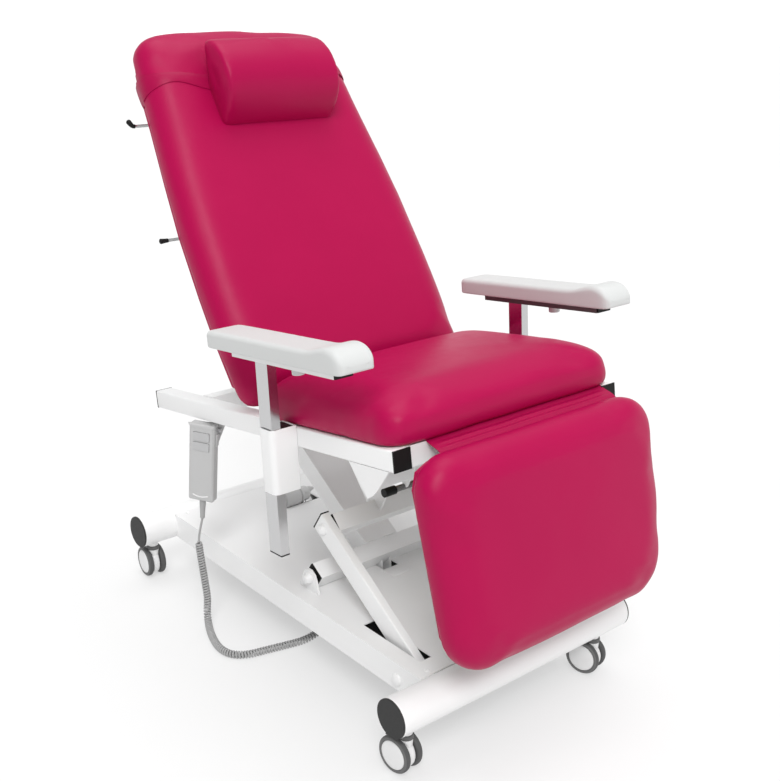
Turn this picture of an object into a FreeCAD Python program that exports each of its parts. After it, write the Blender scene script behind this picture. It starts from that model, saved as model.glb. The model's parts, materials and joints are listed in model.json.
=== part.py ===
import FreeCAD, Part
import Sketcher
import math
import os

# Electric recliner chair: parallelogram lift on a castered base, tilted seat frame,
# reclining backrest, swinging legrest, height-adjustable swivelling armrests, corded handset.
# Millimetres. +Z up, the sitter faces -Y, +X is the sitter's left.

V = FreeCAD.Vector
Placement = FreeCAD.Placement
Rotation = FreeCAD.Rotation

doc = FreeCAD.newDocument("recliner")
sheet = doc.addObject("Spreadsheet::Sheet", "dims")
D = {}
ROWS = [
    ("frame_shift", 450.7, "distance from front base tube axis to the origin, along Y"),
    ("tube_rad", 39.0, "base cross tube outer radius"),
    ("tube_bore", 36.0, "base cross tube inner radius"),
    ("tube_mid", -21.25, "middle of the base tubes, along X"),
    ("front_tube_len", 622.5, "front base tube length"),
    ("rear_tube_len", 612.5, "rear base tube length"),
    ("tube_height", 131.0, "base tube axis above the floor"),
    ("wheelbase", 986.0, "front to rear base tube axes"),
    ("side_w", 35.0, "base side member width"),
    ("side_h", 57.0, "base side member height"),
    ("side_wall", 2.5, "base side member wall"),
    ("side_out", 241.0, "base side member outer face from the middle"),
    ("side_low", 103.0, "base side member underside above the floor"),
    ("tray_thick", 2.5, "tray sheet thickness"),
    ("tray_w", 482.0, "tray width"),
    ("tray_len", 933.0, "tray length"),
    ("cap_thick", 4.0, "tube end cap flange"),
    ("cap_plug", 35.8, "tube end cap plug radius"),
    ("arm_depth", 50.0, "front lift arm section depth"),
    ("arm_width", 20.0, "front lift arm section width"),
    ("arm_bore_d", 46.0, "front lift arm inner depth"),
    ("arm_bore_w", 16.0, "front lift arm inner width"),
    ("pin_rad", 8.0, "lift pivot pin radius"),
    ("pin_hole", 8.05, "running hole for a lift pin"),
    ("pin_loose", 8.6, "hole at the opened loop pivot"),
    ("cross_size", 40.0, "cross tube section"),
    ("cross_bore", 35.0, "cross tube inner size"),
    ("low_tube_len", 378.0, "lower cross tube length"),
    ("knee_tube_len", 342.0, "carriage cross tube length"),
    ("chan_w", 90.0, "rear lift arm channel width"),
    ("chan_d", 50.0, "rear lift arm channel depth"),
    ("chan_wall", 3.0, "rear lift arm channel wall"),
    ("rail_size", 40.0, "seat rail section"),
    ("rail_bore", 36.0, "seat rail inner size"),
    ("rail_len", 867.0, "seat rail length"),
    ("rail_mid", 274.6, "seat rail centre from the middle"),
    ("member_len", 509.0, "seat cross member length"),
    ("plug_thick", 3.0, "tube end plug flange"),
    ("plug_in", 35.7, "rail plug insert size"),
    ("plug_deep", 12.0, "tube end plug insert depth"),
    ("hanger_thick", 5.0, "hanger plate thickness"),
    ("sleeve_x", 60.0, "armrest sleeve width"),
    ("sleeve_y", 48.0, "armrest sleeve depth"),
    ("sleeve_z", 131.0, "armrest sleeve height"),
    ("post_x", 20.0, "armrest post section width"),
    ("post_y", 40.0, "armrest post section depth"),
    ("post_len", 391.6, "armrest post length"),
    ("post_mid", 340.0, "armrest post centre from the middle"),
    ("plate_len", 332.0, "armrest plate length"),
    ("plate_w", 40.0, "armrest plate width"),
    ("plate_t", 14.0, "armrest plate thickness"),
    ("pad_w", 80.0, "armrest pad width"),
    ("knob_rad", 12.0, "armrest knob radius"),
    ("knob_h", 13.0, "armrest knob height"),
    ("seat_w", 584.0, "seat cushion width"),
    ("seat_len", 417.0, "seat cushion length"),
    ("seat_t", 84.0, "seat cushion thickness"),
    ("board_t", 12.0, "upholstery board thickness"),
    ("back_t", 70.0, "back cushion thickness"),
    ("frame_tube", 25.0, "back frame tube size"),
    ("leg_t", 62.0, "legrest cushion thickness"),
    ("leg_frame_t", 12.0, "legrest support frame thickness"),
    ("pillow_w", 302.0, "pillow width"),
    ("strap_h", 34.0, "pillow strap width"),
    ("hook_rad", 4.0, "cable hook rod radius"),
    ("tip_rad", 5.5, "rubber tip radius"),
    ("bar_rad", 6.0, "release bar radius"),
    ("bar_len", 440.0, "release bar length"),
    ("act_rad", 22.0, "actuator tube outer radius"),
    ("act_bore", 19.5, "actuator tube inner radius"),
    ("act_rod", 8.0, "actuator rod radius"),
    ("motor_rad", 22.5, "actuator motor housing radius"),
    ("motor_len", 95.0, "actuator motor housing length"),
    ("spring_rad", 15.0, "gas spring tube outer radius"),
    ("spring_bore", 13.0, "gas spring tube inner radius"),
    ("spring_rod", 4.0, "gas spring rod radius"),
    ("handset_w", 60.0, "handset width"),
    ("handset_t", 26.0, "handset thickness"),
    ("handset_h", 184.0, "handset height"),
    ("key_w", 37.0, "rocker key width"),
    ("key_h", 19.0, "rocker key height"),
    ("key_t", 5.0, "rocker key thickness"),
    ("wheel_rad", 38.0, "caster wheel radius"),
    ("wheel_w", 13.2, "caster wheel width"),
    ("hub_rad", 29.0, "caster hub disc radius"),
    ("axle_rad", 4.0, "caster axle radius"),
    ("axle_hole", 4.06, "caster axle hole radius"),
    ("stem_rad", 5.5, "caster stem radius"),
    ("stem_hole", 5.6, "caster stem hole radius"),
    ("collar_rad", 15.0, "caster collar radius"),
    ("cord_rad", 8.5, "outer radius of the curly cord"),
    ("box_w", 120.0, "control box width"),
    ("box_len", 160.0, "control box length"),
    ("box_h", 40.0, "control box height"),
]
for i, (alias, value, note) in enumerate(ROWS, start=1):
    sheet.set("A%d" % i, note)
    sheet.set("B%d" % i, repr(value))
    sheet.setAlias("B%d" % i, alias)
    D[alias] = value
doc.recompute()

count = [0]


def fresh(stem):
    count[0] += 1
    return "%s_%03d" % (stem, count[0])


def num(v):
    return D[v] if isinstance(v, str) else float(v)


def bind(obj, prop, v):
    if isinstance(v, str):
        obj.setExpression(prop, "dims." + v)
    else:
        setattr(obj, prop, float(v))


def P(x, y, z):
    return V(x, y - D["frame_shift"], z)


def at(p, rot=None):
    return Placement(p, rot or Rotation())


def rx(deg):
    return Rotation(V(1, 0, 0), deg)


def box(l, w, h, pl=None, mid=(0.5, 0.5, 0.5)):
    """Box whose point at the fractions mid of its sides sits on the placement."""
    o = doc.addObject("Part::Box", fresh("block"))
    bind(o, "Length", l)
    bind(o, "Width", w)
    bind(o, "Height", h)
    pl = pl or Placement()
    o.Placement = pl.multiply(Placement(V(-mid[0] * num(l), -mid[1] * num(w), -mid[2] * num(h)), Rotation()))
    return o


AXES = {"z": Rotation(), "x": Rotation(V(0, 1, 0), 90), "y": Rotation(V(1, 0, 0), -90)}


def cyl(r, h, pl=None, axis="z", mid=0.5):
    o = doc.addObject("Part::Cylinder", fresh("round"))
    bind(o, "Radius", r)
    bind(o, "Height", h)
    pl = pl or Placement()
    o.Placement = pl.multiply(Placement(V(), AXES[axis])).multiply(Placement(V(0, 0, -mid * num(h)), Rotation()))
    return o


def cone(r1, r2, h, pl, axis="z"):
    o = doc.addObject("Part::Cone", fresh("taper"))
    bind(o, "Radius1", r1)
    bind(o, "Radius2", r2)
    bind(o, "Height", h)
    o.Placement = pl.multiply(Placement(V(), AXES[axis]))
    return o


def fuse(*objs):
    if len(objs) == 1:
        return objs[0]
    o = doc.addObject("Part::MultiFuse", fresh("joined"))
    o.Shapes = list(objs)
    o.Refine = True
    return o


def cut(base, *tools):
    o = doc.addObject("Part::Cut", fresh("cut"))
    o.Base = base
    o.Tool = fuse(*tools)
    return o


def common(a, b):
    o = doc.addObject("Part::Common", fresh("overlap"))
    o.Base = a
    o.Tool = b
    return o


def fillet(base, r, pick):
    doc.recompute()
    edges = [(i + 1, float(r), float(r)) for i, e in enumerate(base.Shape.Edges) if pick(e)]
    o = doc.addObject("Part::Fillet", fresh("rounded"))
    o.Base = base
    o.Edges = edges
    doc.recompute()
    return o


def rect(sk, w, h, tag):
    """Centred rectangle with its width and height bound to the sheet."""
    a, b = num(w) / 2, num(h) / 2
    pts = [V(-a, -b, 0), V(a, -b, 0), V(a, b, 0), V(-a, b, 0)]
    n = [sk.addGeometry(Part.LineSegment(pts[i], pts[(i + 1) % 4]), False) for i in range(4)]
    for i in range(4):
        sk.addConstraint(Sketcher.Constraint("Coincident", n[i], 2, n[(i + 1) % 4], 1))
    for i in (0, 2):
        sk.addConstraint(Sketcher.Constraint("Horizontal", n[i]))
    for i in (1, 3):
        sk.addConstraint(Sketcher.Constraint("Vertical", n[i]))
    sk.addConstraint(Sketcher.Constraint("Symmetric", n[0], 1, n[2], 1, -1, 1))
    for kind, line, v, name in (("DistanceX", n[0], w, "wide"), ("DistanceY", n[1], h, "high")):
        c = sk.addConstraint(Sketcher.Constraint(kind, line, 1, line, 2, num(v)))
        sk.renameConstraint(c, name + tag)
        if isinstance(v, str):
            sk.setExpression("Constraints." + name + tag, "dims." + v)


def plane_of(body, role):
    return [f for f in body.Origin.OriginFeatures if f.Role == role][0]


def sketch_on(body, role):
    sk = body.newObject("Sketcher::SketchObject", fresh("profile"))
    sk.AttachmentSupport = [(plane_of(body, role), "")]
    sk.MapMode = "FlatFace"
    return sk


def rhs(outer_w, outer_h, bore_w, bore_h, length, pl):
    """Rectangular hollow section, along local Z from the placement."""
    body = doc.addObject("PartDesign::Body", fresh("section"))
    sk = sketch_on(body, "XY_Plane")
    rect(sk, outer_w, outer_h, "_out")
    rect(sk, bore_w, bore_h, "_in")
    pad = body.newObject("PartDesign::Pad", fresh("pad"))
    pad.Profile = sk
    bind(pad, "Length", length)
    body.Placement = pl
    return body


def plate(pts, thick, pl, holes=()):
    """Flat plate: outline in local XY, thickness along local +Z."""
    body = doc.addObject("PartDesign::Body", fresh("plate"))
    sk = sketch_on(body, "XY_Plane")
    n = len(pts)
    ids = [sk.addGeometry(Part.LineSegment(V(*pts[i], 0), V(*pts[(i + 1) % n], 0)), False) for i in range(n)]
    for i in range(n):
        sk.addConstraint(Sketcher.Constraint("Coincident", ids[i], 2, ids[(i + 1) % n], 1))
    for j, (hx, hy, hr) in enumerate(holes):
        g = sk.addGeometry(Part.Circle(V(hx, hy, 0), V(0, 0, 1), num(hr)), False)
        c = sk.addConstraint(Sketcher.Constraint("Radius", g, num(hr)))
        sk.renameConstraint(c, "hole%d" % j)
        if isinstance(hr, str):
            sk.setExpression("Constraints.hole%d" % j, "dims." + hr)
    pad = body.newObject("PartDesign::Pad", fresh("pad"))
    pad.Profile = sk
    bind(pad, "Length", thick)
    body.Placement = pl
    return body


def turned(pts, pl):
    """Turned piece: half profile (radius, height) revolved about local Z."""
    body = doc.addObject("PartDesign::Body", fresh("turned"))
    sk = sketch_on(body, "XZ_Plane")
    n = len(pts)
    ids = [sk.addGeometry(Part.LineSegment(V(*pts[i], 0), V(*pts[(i + 1) % n], 0)), False) for i in range(n)]
    for i in range(n):
        sk.addConstraint(Sketcher.Constraint("Coincident", ids[i], 2, ids[(i + 1) % n], 1))
    rev = body.newObject("PartDesign::Revolution", fresh("spin"))
    rev.Profile = sk
    rev.ReferenceAxis = (sk, ["V_Axis"])
    rev.Angle = 360.0
    body.Placement = pl
    return body


nodes = []


def node(label, *objs):
    if len(objs) == 1:
        o = objs[0]
    else:
        o = doc.addObject("Part::Compound", fresh("group"))
        o.Links = list(objs)
    o.Label = label
    nodes.append(o)
    return o


SIDES = (-1, 1)

# ---------------------------------------------------------------- frames of reference
TILT = 7.9
CT, ST = math.cos(math.radians(TILT)), math.sin(math.radians(TILT))
RAIL_Y, RAIL_Z = 46.3, 633.1


def S(x, a, b):
    """Seat frame: a along the rails from their front ends, b above the rails' top."""
    return P(x, RAIL_Y + a * CT + b * ST, RAIL_Z - a * ST + b * CT)


SEAT_ROT = rx(-TILT)
BACK_A = 34.15


def B(x, s, n):
    """Backrest: s up along it, n out of its front face."""
    a = math.radians(BACK_A)
    return P(x, 399.5 + s * math.sin(a) - n * math.cos(a), 491.0 + s * math.cos(a) + n * math.sin(a))


# local X = x, local Y = up along the piece, local Z = out of its front face
BACK_ROT = rx(90.0 - BACK_A)
LEG_A = 12.93


def L(x, s, n):
    a = math.radians(LEG_A)
    return P(x, -143.5 + s * math.sin(a) - n * math.cos(a), 245.4 + s * math.cos(a) + n * math.sin(a))


LEG_ROT = rx(90.0 - LEG_A)
PHI = math.degrees(math.atan2(196.0, 297.0))
ARM = math.hypot(297.0, 196.0)
P2 = (95.0, 126.0)          # front arms on the base
KNEE = (392.0, 322.0)       # front arms on the carriage
P1 = (437.0, 191.3)         # rear arm on the base
TOP = (734.0, 387.3)        # rear arm on the carriage
ARM_ROT = rx(PHI)           # local Y runs up the arms

# local frame with Z along world X, X along world Y, Y up: for plates drawn in (y, z)
SIDE_ROT = Rotation(V(0, 1, 0), V(0, 0, 1), V(1, 0, 0), "ZXY")


def side_at(x):
    return Placement(V(x, -D["frame_shift"], 0), SIDE_ROT)


# ---------------------------------------------------------------- base
tubes = []
CASTERS = [("front_right", -297.5, 0.0, 6.0), ("front_left", 227.0, 0.0, 14.0),
           ("rear_right", -292.5, 986.0, -4.0), ("rear_left", 221.5, 986.0, -12.0)]
for y, length in ((0.0, "front_tube_len"), (D["wheelbase"], "rear_tube_len")):
    pl = at(P(D["tube_mid"], y, D["tube_height"]))
    holes = [cyl("stem_hole", 30.0, at(P(cx, cy, 100.0))) for n_, cx, cy, g in CASTERS if cy == y]
    tubes.append(cut(cyl("tube_rad", length, pl, "x"), cyl("tube_bore", 700.0, pl, "x"), *holes))
node("base_cross_tubes", *tubes)

members = []
for s in SIDES:
    xm = s * (D["side_out"] - D["side_w"] / 2)
    zc = D["side_low"] + D["side_h"] / 2
    outer = box("side_w", "wheelbase", "side_h", at(P(xm, D["wheelbase"] / 2, zc)))
    inner = box(D["side_w"] - 2 * D["side_wall"], 1100.0, D["side_h"] - 2 * D["side_wall"], at(P(xm, D["wheelbase"] / 2, zc)))
    ends = [cyl("tube_rad", 900.0, at(P(0, y, D["tube_height"])), "x") for y in (0.0, D["wheelbase"])]
    hole = cyl("pin_rad", 60.0, at(P(xm, *P2)), "x")
    members.append(cut(outer, inner, hole, *ends))
node("base_side_members", *members)

TRAY_Z = D["side_low"] + D["side_h"]
TRAY_TOP = TRAY_Z + D["tray_thick"]
sheet_metal = box("tray_w", "tray_len", "tray_thick", at(P(0, 493.0, TRAY_Z)), (0.5, 0.5, 0.0))
slots = [box(30.0, 177.0, 20.0, at(P(s * 188.0, 159.5, TRAY_Z))) for s in SIDES]
slots.append(box(120.0, 66.0, 20.0, at(P(34.0, 842.0, TRAY_Z))))
slots.append(box(44.0, 130.0, 20.0, at(P(0, 432.0, TRAY_Z))))
node("base_tray", cut(sheet_metal, *slots))

caps = []
for y, length in ((0.0, "front_tube_len"), (D["wheelbase"], "rear_tube_len")):
    for s in SIDES:
        end = D["tube_mid"] + s * D[length] / 2
        flange = cyl("tube_rad", "cap_thick", at(P(end + s * D["cap_thick"] / 2, y, D["tube_height"])), "x")
        plug = cyl("cap_plug", 14.0, at(P(end - s * 7.0 + s * 0.2, y, D["tube_height"])), "x")
        caps.append(fillet(fuse(flange, plug), 1.5,
                           lambda e, q=end + s * D["cap_thick"]: abs(e.BoundBox.XMin - q) < 0.01 and abs(e.BoundBox.XMax - q) < 0.01))
node("tube_end_caps", *caps)

brackets = []
lug = [(405.0, TRAY_TOP), (472.0, TRAY_TOP), (461.0, 189.0), (455.0, 202.0), (445.0, 210.0), (432.0, 210.5), (420.0, 203.0), (414.0, 191.0)]
for s in SIDES:
    brackets.append(plate(lug, 6.0, side_at(197.0 if s > 0 else -203.0), [(P1[0], P1[1], "pin_rad")]))
ACT_Z = P1[1] - 80.0 * math.sin(math.radians(97.0))
ACT_Y = 927.0
stay = [(914.0, TRAY_Z), (944.0, TRAY_Z), (940.0, 106.0), (928.0, 99.0), (914.0, 106.0)]
for s in SIDES:
    brackets.append(plate(stay, 5.0, side_at(26.0 if s > 0 else -31.0), [(ACT_Y, ACT_Z, 6.0)]))
node("lift_brackets", *brackets)

pins = []
for s in SIDES:
    shaft = cyl("pin_rad", 72.0, at(P(s * 210.0, *P2)), "x")
    cap = turned([(0, 0), (13.5, 0), (13.0, 2.6), (10.5, 5.0), (6.0, 6.6), (0, 7.2)],
                 at(P(s * D["side_out"], *P2), Rotation(V(0, 1, 0), 90 * s)))
    pins.append(fuse(shaft, cap))
    shaft = cyl("pin_rad", 30.0, at(P(s * 190.0, *P1)), "x")
    cap = turned([(0, 0), (13.5, 0), (13.0, 3.0), (8.5, 13.0), (0, 14.0)],
                 at(P(s * 203.0, *P1), Rotation(V(0, 1, 0), 90 * s)))
    pins.append(fuse(shaft, cap))
pins.append(cyl(6.0, 66.0, at(P(0, ACT_Y, ACT_Z)), "x"))
node("lift_pivot_pins", *pins)

case = fillet(box("box_w", "box_len", "box_h", at(P(-112.0, 610.0, TRAY_Z)), (0.5, 0.5, 1.0)), 5.0, lambda e: True)
gland = cyl(10.0, 22.0, at(P(-112.0, 522.0, 138.0)), "y")
node("control_box", fuse(case, gland))

# lift actuator: tube and motor fixed under the tray, the motor standing up through its opening
tube = cut(cyl("act_rad", 345.0, at(P(0, 535.0, ACT_Z), Rotation()), "y", 0.0),
           cyl("act_bore", 330.0, at(P(0, 530.0, ACT_Z)), "y", 0.0))
eye = cut(box(40.0, 66.0, 24.0, at(P(0, 904.0, ACT_Z))), cyl(6.0, 60.0, at(P(0, ACT_Y, ACT_Z)), "x"))
gearbox = box(46.0, 60.0, 96.0, at(P(0, 842.0, ACT_Z - 20.0)), (0.5, 0.5, 0.0))
motor = cyl("motor_rad", "motor_len", at(P(44.0, 830.0, 178.0)), "x")
nose = cyl(12.0, 22.0, at(P(90.0, 830.0, 178.0)), "x")
node("lift_actuator_body", cut(fuse(tube, eye, fillet(gearbox, 6.0, lambda e: True), motor, nose),
                               cyl("act_bore", 300.0, at(P(0, 500.0, ACT_Z)), "y", 0.0)))

# ---------------------------------------------------------------- lift arms
arms, plugs = [], []
for s in SIDES:
    pl = at(P(s * 186.0, *P2), ARM_ROT)
    run = ARM + 47.0
    outer = box("arm_width", run, "arm_depth", pl.multiply(at(V(0, ARM / 2 - 1.5, 0))))
    inner = box("arm_bore_w", run + 20.0, "arm_bore_d", pl.multiply(at(V(0, ARM / 2, 0))))
    arms.append(cut(outer, inner, cyl("pin_hole", 60.0, pl, "x"), cyl("pin_loose", 60.0, pl.multiply(at(V(0, ARM, 0))), "x")))
    endy = ARM / 2 - 1.5 + run / 2
    flange = box("arm_width", "plug_thick", "arm_depth", pl.multiply(at(V(0, endy, 0))), (0.5, 0.0, 0.5))
    insert = box(15.8, 8.0, 45.8, pl.multiply(at(V(0, endy, 0))), (0.5, 1.0, 0.5))
    plugs.append(fuse(flange, insert))
node("front_lift_arms", *arms)
node("front_arm_plugs", *plugs)

pl = at(P(0, *P1), ARM_ROT)
tube = cut(box("low_tube_len", "cross_size", "cross_size", pl), box(600.0, "cross_bore", "cross_bore", pl))
tip = (P1[0] + 80.0 * math.cos(math.radians(-97.0)), P1[1] + 80.0 * math.sin(math.radians(-97.0)))
crank = []
for s in SIDES:
    pts = [(P1[0] - 14.0, P1[1] - 12.0), (tip[0] - 11.0, tip[1] + 3.0), (tip[0] - 8.0, tip[1] - 8.0), (tip[0], tip[1] - 11.5),
           (tip[0] + 8.0, tip[1] - 8.0), (tip[0] + 11.0, tip[1] + 3.0), (P1[0] + 18.0, P1[1] - 12.0)]
    crank.append(plate(pts, 5.0, side_at(9.5 if s > 0 else -14.5), [(tip[0], tip[1], 6.0)]))
solid_low = box("low_tube_len", "cross_size", "cross_size", pl)
crank = [cut(c, solid_low) for c in crank]
node("lower_cross_tube", fuse(tube, *crank), cyl(6.0, 31.0, at(P(0, *tip)), "x"))
ends = []
for s in SIDES:
    e = at(P(s * D["low_tube_len"] / 2, *P1), ARM_ROT)
    flange = box(4.0, "cross_size", "cross_size", e, (0.0 if s > 0 else 1.0, 0.5, 0.5))
    insert = box(14.0, 34.6, 34.6, e, (1.0 if s > 0 else 0.0, 0.5, 0.5))
    ends.append(cut(fuse(flange, insert), cyl("pin_hole", 60.0, e, "x")))
node("lower_tube_plugs", *ends)

a0 = at(P(0, *P1), ARM_ROT)
run = ARM + 22.0 - 20.0
outer = box("chan_w", run, "chan_d", a0.multiply(at(V(0, 20.0, 0))), (0.5, 0.0, 0.5))
inner = box(D["chan_w"] - 2 * D["chan_wall"], run + 20.0, "chan_d", a0.multiply(at(V(0, 10.0, -D["chan_wall"]))), (0.5, 0.0, 0.5))
node("rear_lift_arm", cut(outer, inner, cyl("pin_hole", 200.0, a0.multiply(at(V(0, ARM, 0))), "x")))

rod = cyl("act_rod", 190.0, at(P(0, tip[1] * 0 + tip[0] + 9.0, tip[1])), "y", 0.0)
eye = cyl(13.0, 17.0, at(P(0, *tip)), "x")
node("lift_actuator_rod", cut(fuse(rod, eye), cyl(6.06, 60.0, at(P(0, *tip)), "x")))

# ---------------------------------------------------------------- seat frame
rails = [rhs("rail_size", "rail_size", "rail_bore", "rail_bore", "rail_len",
             at(S(s * D["rail_mid"], 0, -20.0), SEAT_ROT.multiply(rx(-90)))) for s in SIDES]
node("seat_side_rails", *rails)

cross = []
for a in (22.0, 235.0, 430.0, 700.0):
    cross.append(rhs("rail_size", "rail_size", "rail_bore", "rail_bore", "member_len",
                     at(S(-D["member_len"] / 2, a, -20.0), SEAT_ROT.multiply(Rotation(V(0, 1, 0), 90)))))
node("seat_cross_members", *cross)

k0 = at(P(0, *KNEE), rx(45.0))
knee = cut(box("knee_tube_len", "cross_size", "cross_size", k0), box(500.0, "cross_bore", "cross_bore", k0))
stubs = []
for s in SIDES:
    stubs.append(box(6.0, 35.0, 35.0, at(P(s * 150.0, *KNEE), rx(45.0))))
    stubs.append(cyl("pin_rad", 52.0, at(P(s * 173.0, *KNEE)), "x"))
    stubs.append(turned([(0, 0), (12.5, 0), (12.0, 3.0), (7.5, 8.0), (0, 9.0)],
                        at(P(s * 197.0, *KNEE), Rotation(V(0, 1, 0), 90 * s))))
node("carriage_tube", fuse(knee, *stubs))

KNEE_SOLID = box("knee_tube_len", "cross_size", "cross_size", k0)


def seat_yz(a, b):
    q = S(0, a, b)
    return (q.y + D["frame_shift"], q.z)


hang = []
for s in SIDES:
    pts = [seat_yz(218.0, -40.0), seat_yz(533.0, -40.0), (405.0, 318.0), (380.0, 318.0)]
    k1 = box("knee_tube_len", "cross_size", "cross_size", k0)
    hang.append(cut(plate(pts, "hanger_thick", side_at(52.5 if s > 0 else -57.5)), k1))
rear = []
for s in SIDES:
    pts = [seat_yz(682.0, -40.0), seat_yz(718.0, -40.0), (756.0, 384.0), (749.0, 368.0), (734.0, 362.0), (719.0, 368.0), (712.0, 384.0)]
    rear.append(plate(pts, "hanger_thick", side_at(46.5 if s > 0 else -51.5)))
hang.append(fuse(*rear, cyl("pin_rad", 112.0, at(P(0, *TOP)), "x")))
# hinge ears for the backrest, the legrest and the release bar
BACK_PIV = B(0, 152.0, -88.0)
back_piv = (BACK_PIV.y + D["frame_shift"], BACK_PIV.z)
for s in SIDES:
    for inner_x in (150.0, 171.0):
        x0 = inner_x if s > 0 else -inner_x - 5.0
        pts = [seat_yz(a, b) for a, b in ((524.5, 3.2), (522.0, 11.7), (515.5, 14.7), (508.5, 11.7), (506.3, 4.2), (508.0, -9.0), (500.0, -15.0), (450.0, -15.0), (450.0, -38.0), (505.0, -38.0), (520.0, -18.0))]
        hang.append(plate(pts, 5.0, side_at(x0), [(back_piv[0], back_piv[1], 6.05)]))
LEG_PIV = (28.0, 612.0)
for s in SIDES:
    for inner_x in (120.0, 141.0):
        x0 = inner_x if s > 0 else -inner_x - 5.0
        pts = [seat_yz(2.0, -4.0), seat_yz(2.0, -36.0), (30.0, 602.0), (21.0, 605.0), (18.5, 612.0), (21.0, 619.0), (30.0, 622.0)]
        hang.append(plate(pts, 5.0, side_at(x0), [(LEG_PIV[0], LEG_PIV[1], 6.05)]))
BAR_PIV = seat_yz(60.0, -52.0)
for s in SIDES:
    x0 = 186.0 if s > 0 else -191.0
    pts = [seat_yz(4.0, -40.0), seat_yz(40.0, -40.0), seat_yz(68.0, -46.0), seat_yz(70.0, -56.0), seat_yz(60.0, -61.0), seat_yz(50.0, -58.0)]
    hang.append(plate(pts, 5.0, side_at(x0), [(BAR_PIV[0], BAR_PIV[1], 5.05)]))
# gussets under the front of the rails
for s in SIDES:
    pts = [seat_yz(14.4, -40.0), seat_yz(130.4, -40.0), (116.0, 519.0), (100.0, 530.0), (86.0, 546.0)]
    hang.append(plate(pts, 4.0, side_at(290.6 if s > 0 else -294.6)))
node("carriage_hangers", *hang)

blacks = []
for s in SIDES:
    for a, d in ((0.0, -1), (D["rail_len"], 1)):
        pl = at(S(s * D["rail_mid"], a, -20.0), SEAT_ROT)
        flange = box("rail_size", "plug_thick", "rail_size", pl, (0.5, 0.0 if d > 0 else 1.0, 0.5))
        insert = box("plug_in", "plug_deep", "plug_in", pl, (0.5, 1.0 if d > 0 else 0.0, 0.5))
        blacks.append(fuse(flange, insert))
    e = at(P(s * D["knee_tube_len"] / 2, *KNEE), rx(45.0))
    flange = box(3.0, "cross_size", "cross_size", e, (0.0 if s > 0 else 1.0, 0.5, 0.5))
    insert = box(10.0, 34.6, 34.6, e, (1.0 if s > 0 else 0.0, 0.5, 0.5))
    blacks.append(cut(fuse(flange, insert), cyl("pin_rad", 60.0, e, "x")))

# armrest sleeves lean back a little
LEAN = 4.0
LEAN_ROT = rx(-LEAN)
SLV = (352.8, 531.0)


def A(x, dy, dz):
    """Armrest post frame: dz up along the post from the sleeve's middle."""
    a = math.radians(LEAN)
    return P(x, SLV[0] + dy * math.cos(a) + dz * math.sin(a), SLV[1] - dy * math.sin(a) + dz * math.cos(a))


sleeves = []
for s in SIDES:
    c = at(A(s * 324.6, 0, 0), LEAN_ROT)
    shell = fillet(box("sleeve_x", "sleeve_y", "sleeve_z", c), 9.0,
                   lambda e, q=s: e.Length > 120.0 and e.BoundBox.XMax * q > 340.0)
    bore = box(53.0, 42.0, 200.0, at(A(s * 326.0, 0, 0), LEAN_ROT))
    sleeves.append(cut(shell, bore))
    blacks.append(box(30.0, 41.6, 122.0, at(A(s * 314.6, 0, -2.0), LEAN_ROT)))
node("armrest_sleeves", *sleeves)
node("seat_frame_plugs", *blacks)

node("seat_board", box(524.0, 396.0, "board_t", at(S(0, 208.0, 0.0), SEAT_ROT), (0.5, 0.5, 0.0)))
seat_block = fillet(box("seat_w", "seat_len", "seat_t", at(S(0, -4.0, 0.6), SEAT_ROT), (0.5, 0.0, 0.0)), 24.0,
                    lambda e: e.BoundBox.ZMax - e.BoundBox.ZMin < 65.0 and e.CenterOfMass.z > S(0, 206, 30).z - (e.CenterOfMass.y - S(0, 206, 30).y) * math.tan(math.radians(TILT)))
node("seat_cushion", cut(seat_block, box(526.0, 398.0, 12.4, at(S(0, 208.0, 0.0), SEAT_ROT), (0.5, 0.5, 0.0))))

# ---------------------------------------------------------------- handset on the right seat rail
TURN = 34.2
H_ROT = Rotation(V(0, 0, 1), -90.0 + TURN)      # local -Y becomes the handset's front
H_TILT = H_ROT.multiply(Rotation(V(0, 1, 0), 4.4))   # it hangs a little askew
HX, HY, HTOP = -296.4, 687.9, 498.6


def H(u, d, z):
    """Handset: u across, d out of its front, z from its top."""
    q = H_TILT.multVec(V(u, -d, z))
    return P(HX + q.x, HY + q.y, HTOP + q.z)


hs = fillet(box("handset_w", "handset_t", "handset_h", at(H(0, 0, 0), H_TILT), (0.5, 0.5, 1.0)), 5.0,
            lambda e: e.Length > 20.0)
wells = [box(38.4, 9.6, 20.4, at(H(0, 13.0, z), H_TILT)) for z in (-28.0, -51.5)]
trunnions = [cyl(1.26, 23.0, at(H(0, 10.0, z), H_TILT)) for z in (-28.0, -51.5)]
node("handset_body", cut(hs, *wells, *trunnions))
for label, z in (("back_rocker_key", -28.0), ("lift_rocker_key", -51.5)):
    rocker = fillet(box("key_w", "key_t", "key_h", at(H(0, 12.0, z), H_TILT)), 1.5, lambda e: e.Length < 6.0)
    node(label, fuse(rocker, cyl(1.2, 22.8, at(H(0, 10.0, z), H_TILT))))
tail = turned([(0, 0), (7.2, 0), (7.2, -6.0), (5.0, -47.0), (0, -47.0)], at(H(0, 0, -D["handset_h"]), H_TILT))
node("cord_strain_relief", tail)

# sheet bracket behind the handset, hung under the rail
hook = plate([(-46.0, 1.8), (46.0, -8.0), (16.0, -70.0), (-16.0, -70.0)], 3.0,
             at(H(0, -13.3, 0), H_ROT.multiply(rx(90.0)).multiply(Rotation(V(0, 1, 0), 180))))
under = box(700.0, 900.0, 60.0, at(S(-300.0, 600.0, -40.02), SEAT_ROT), (0.5, 0.5, 0.0))
node("handset_hook", cut(hook, under))

# ---------------------------------------------------------------- backrest


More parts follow.
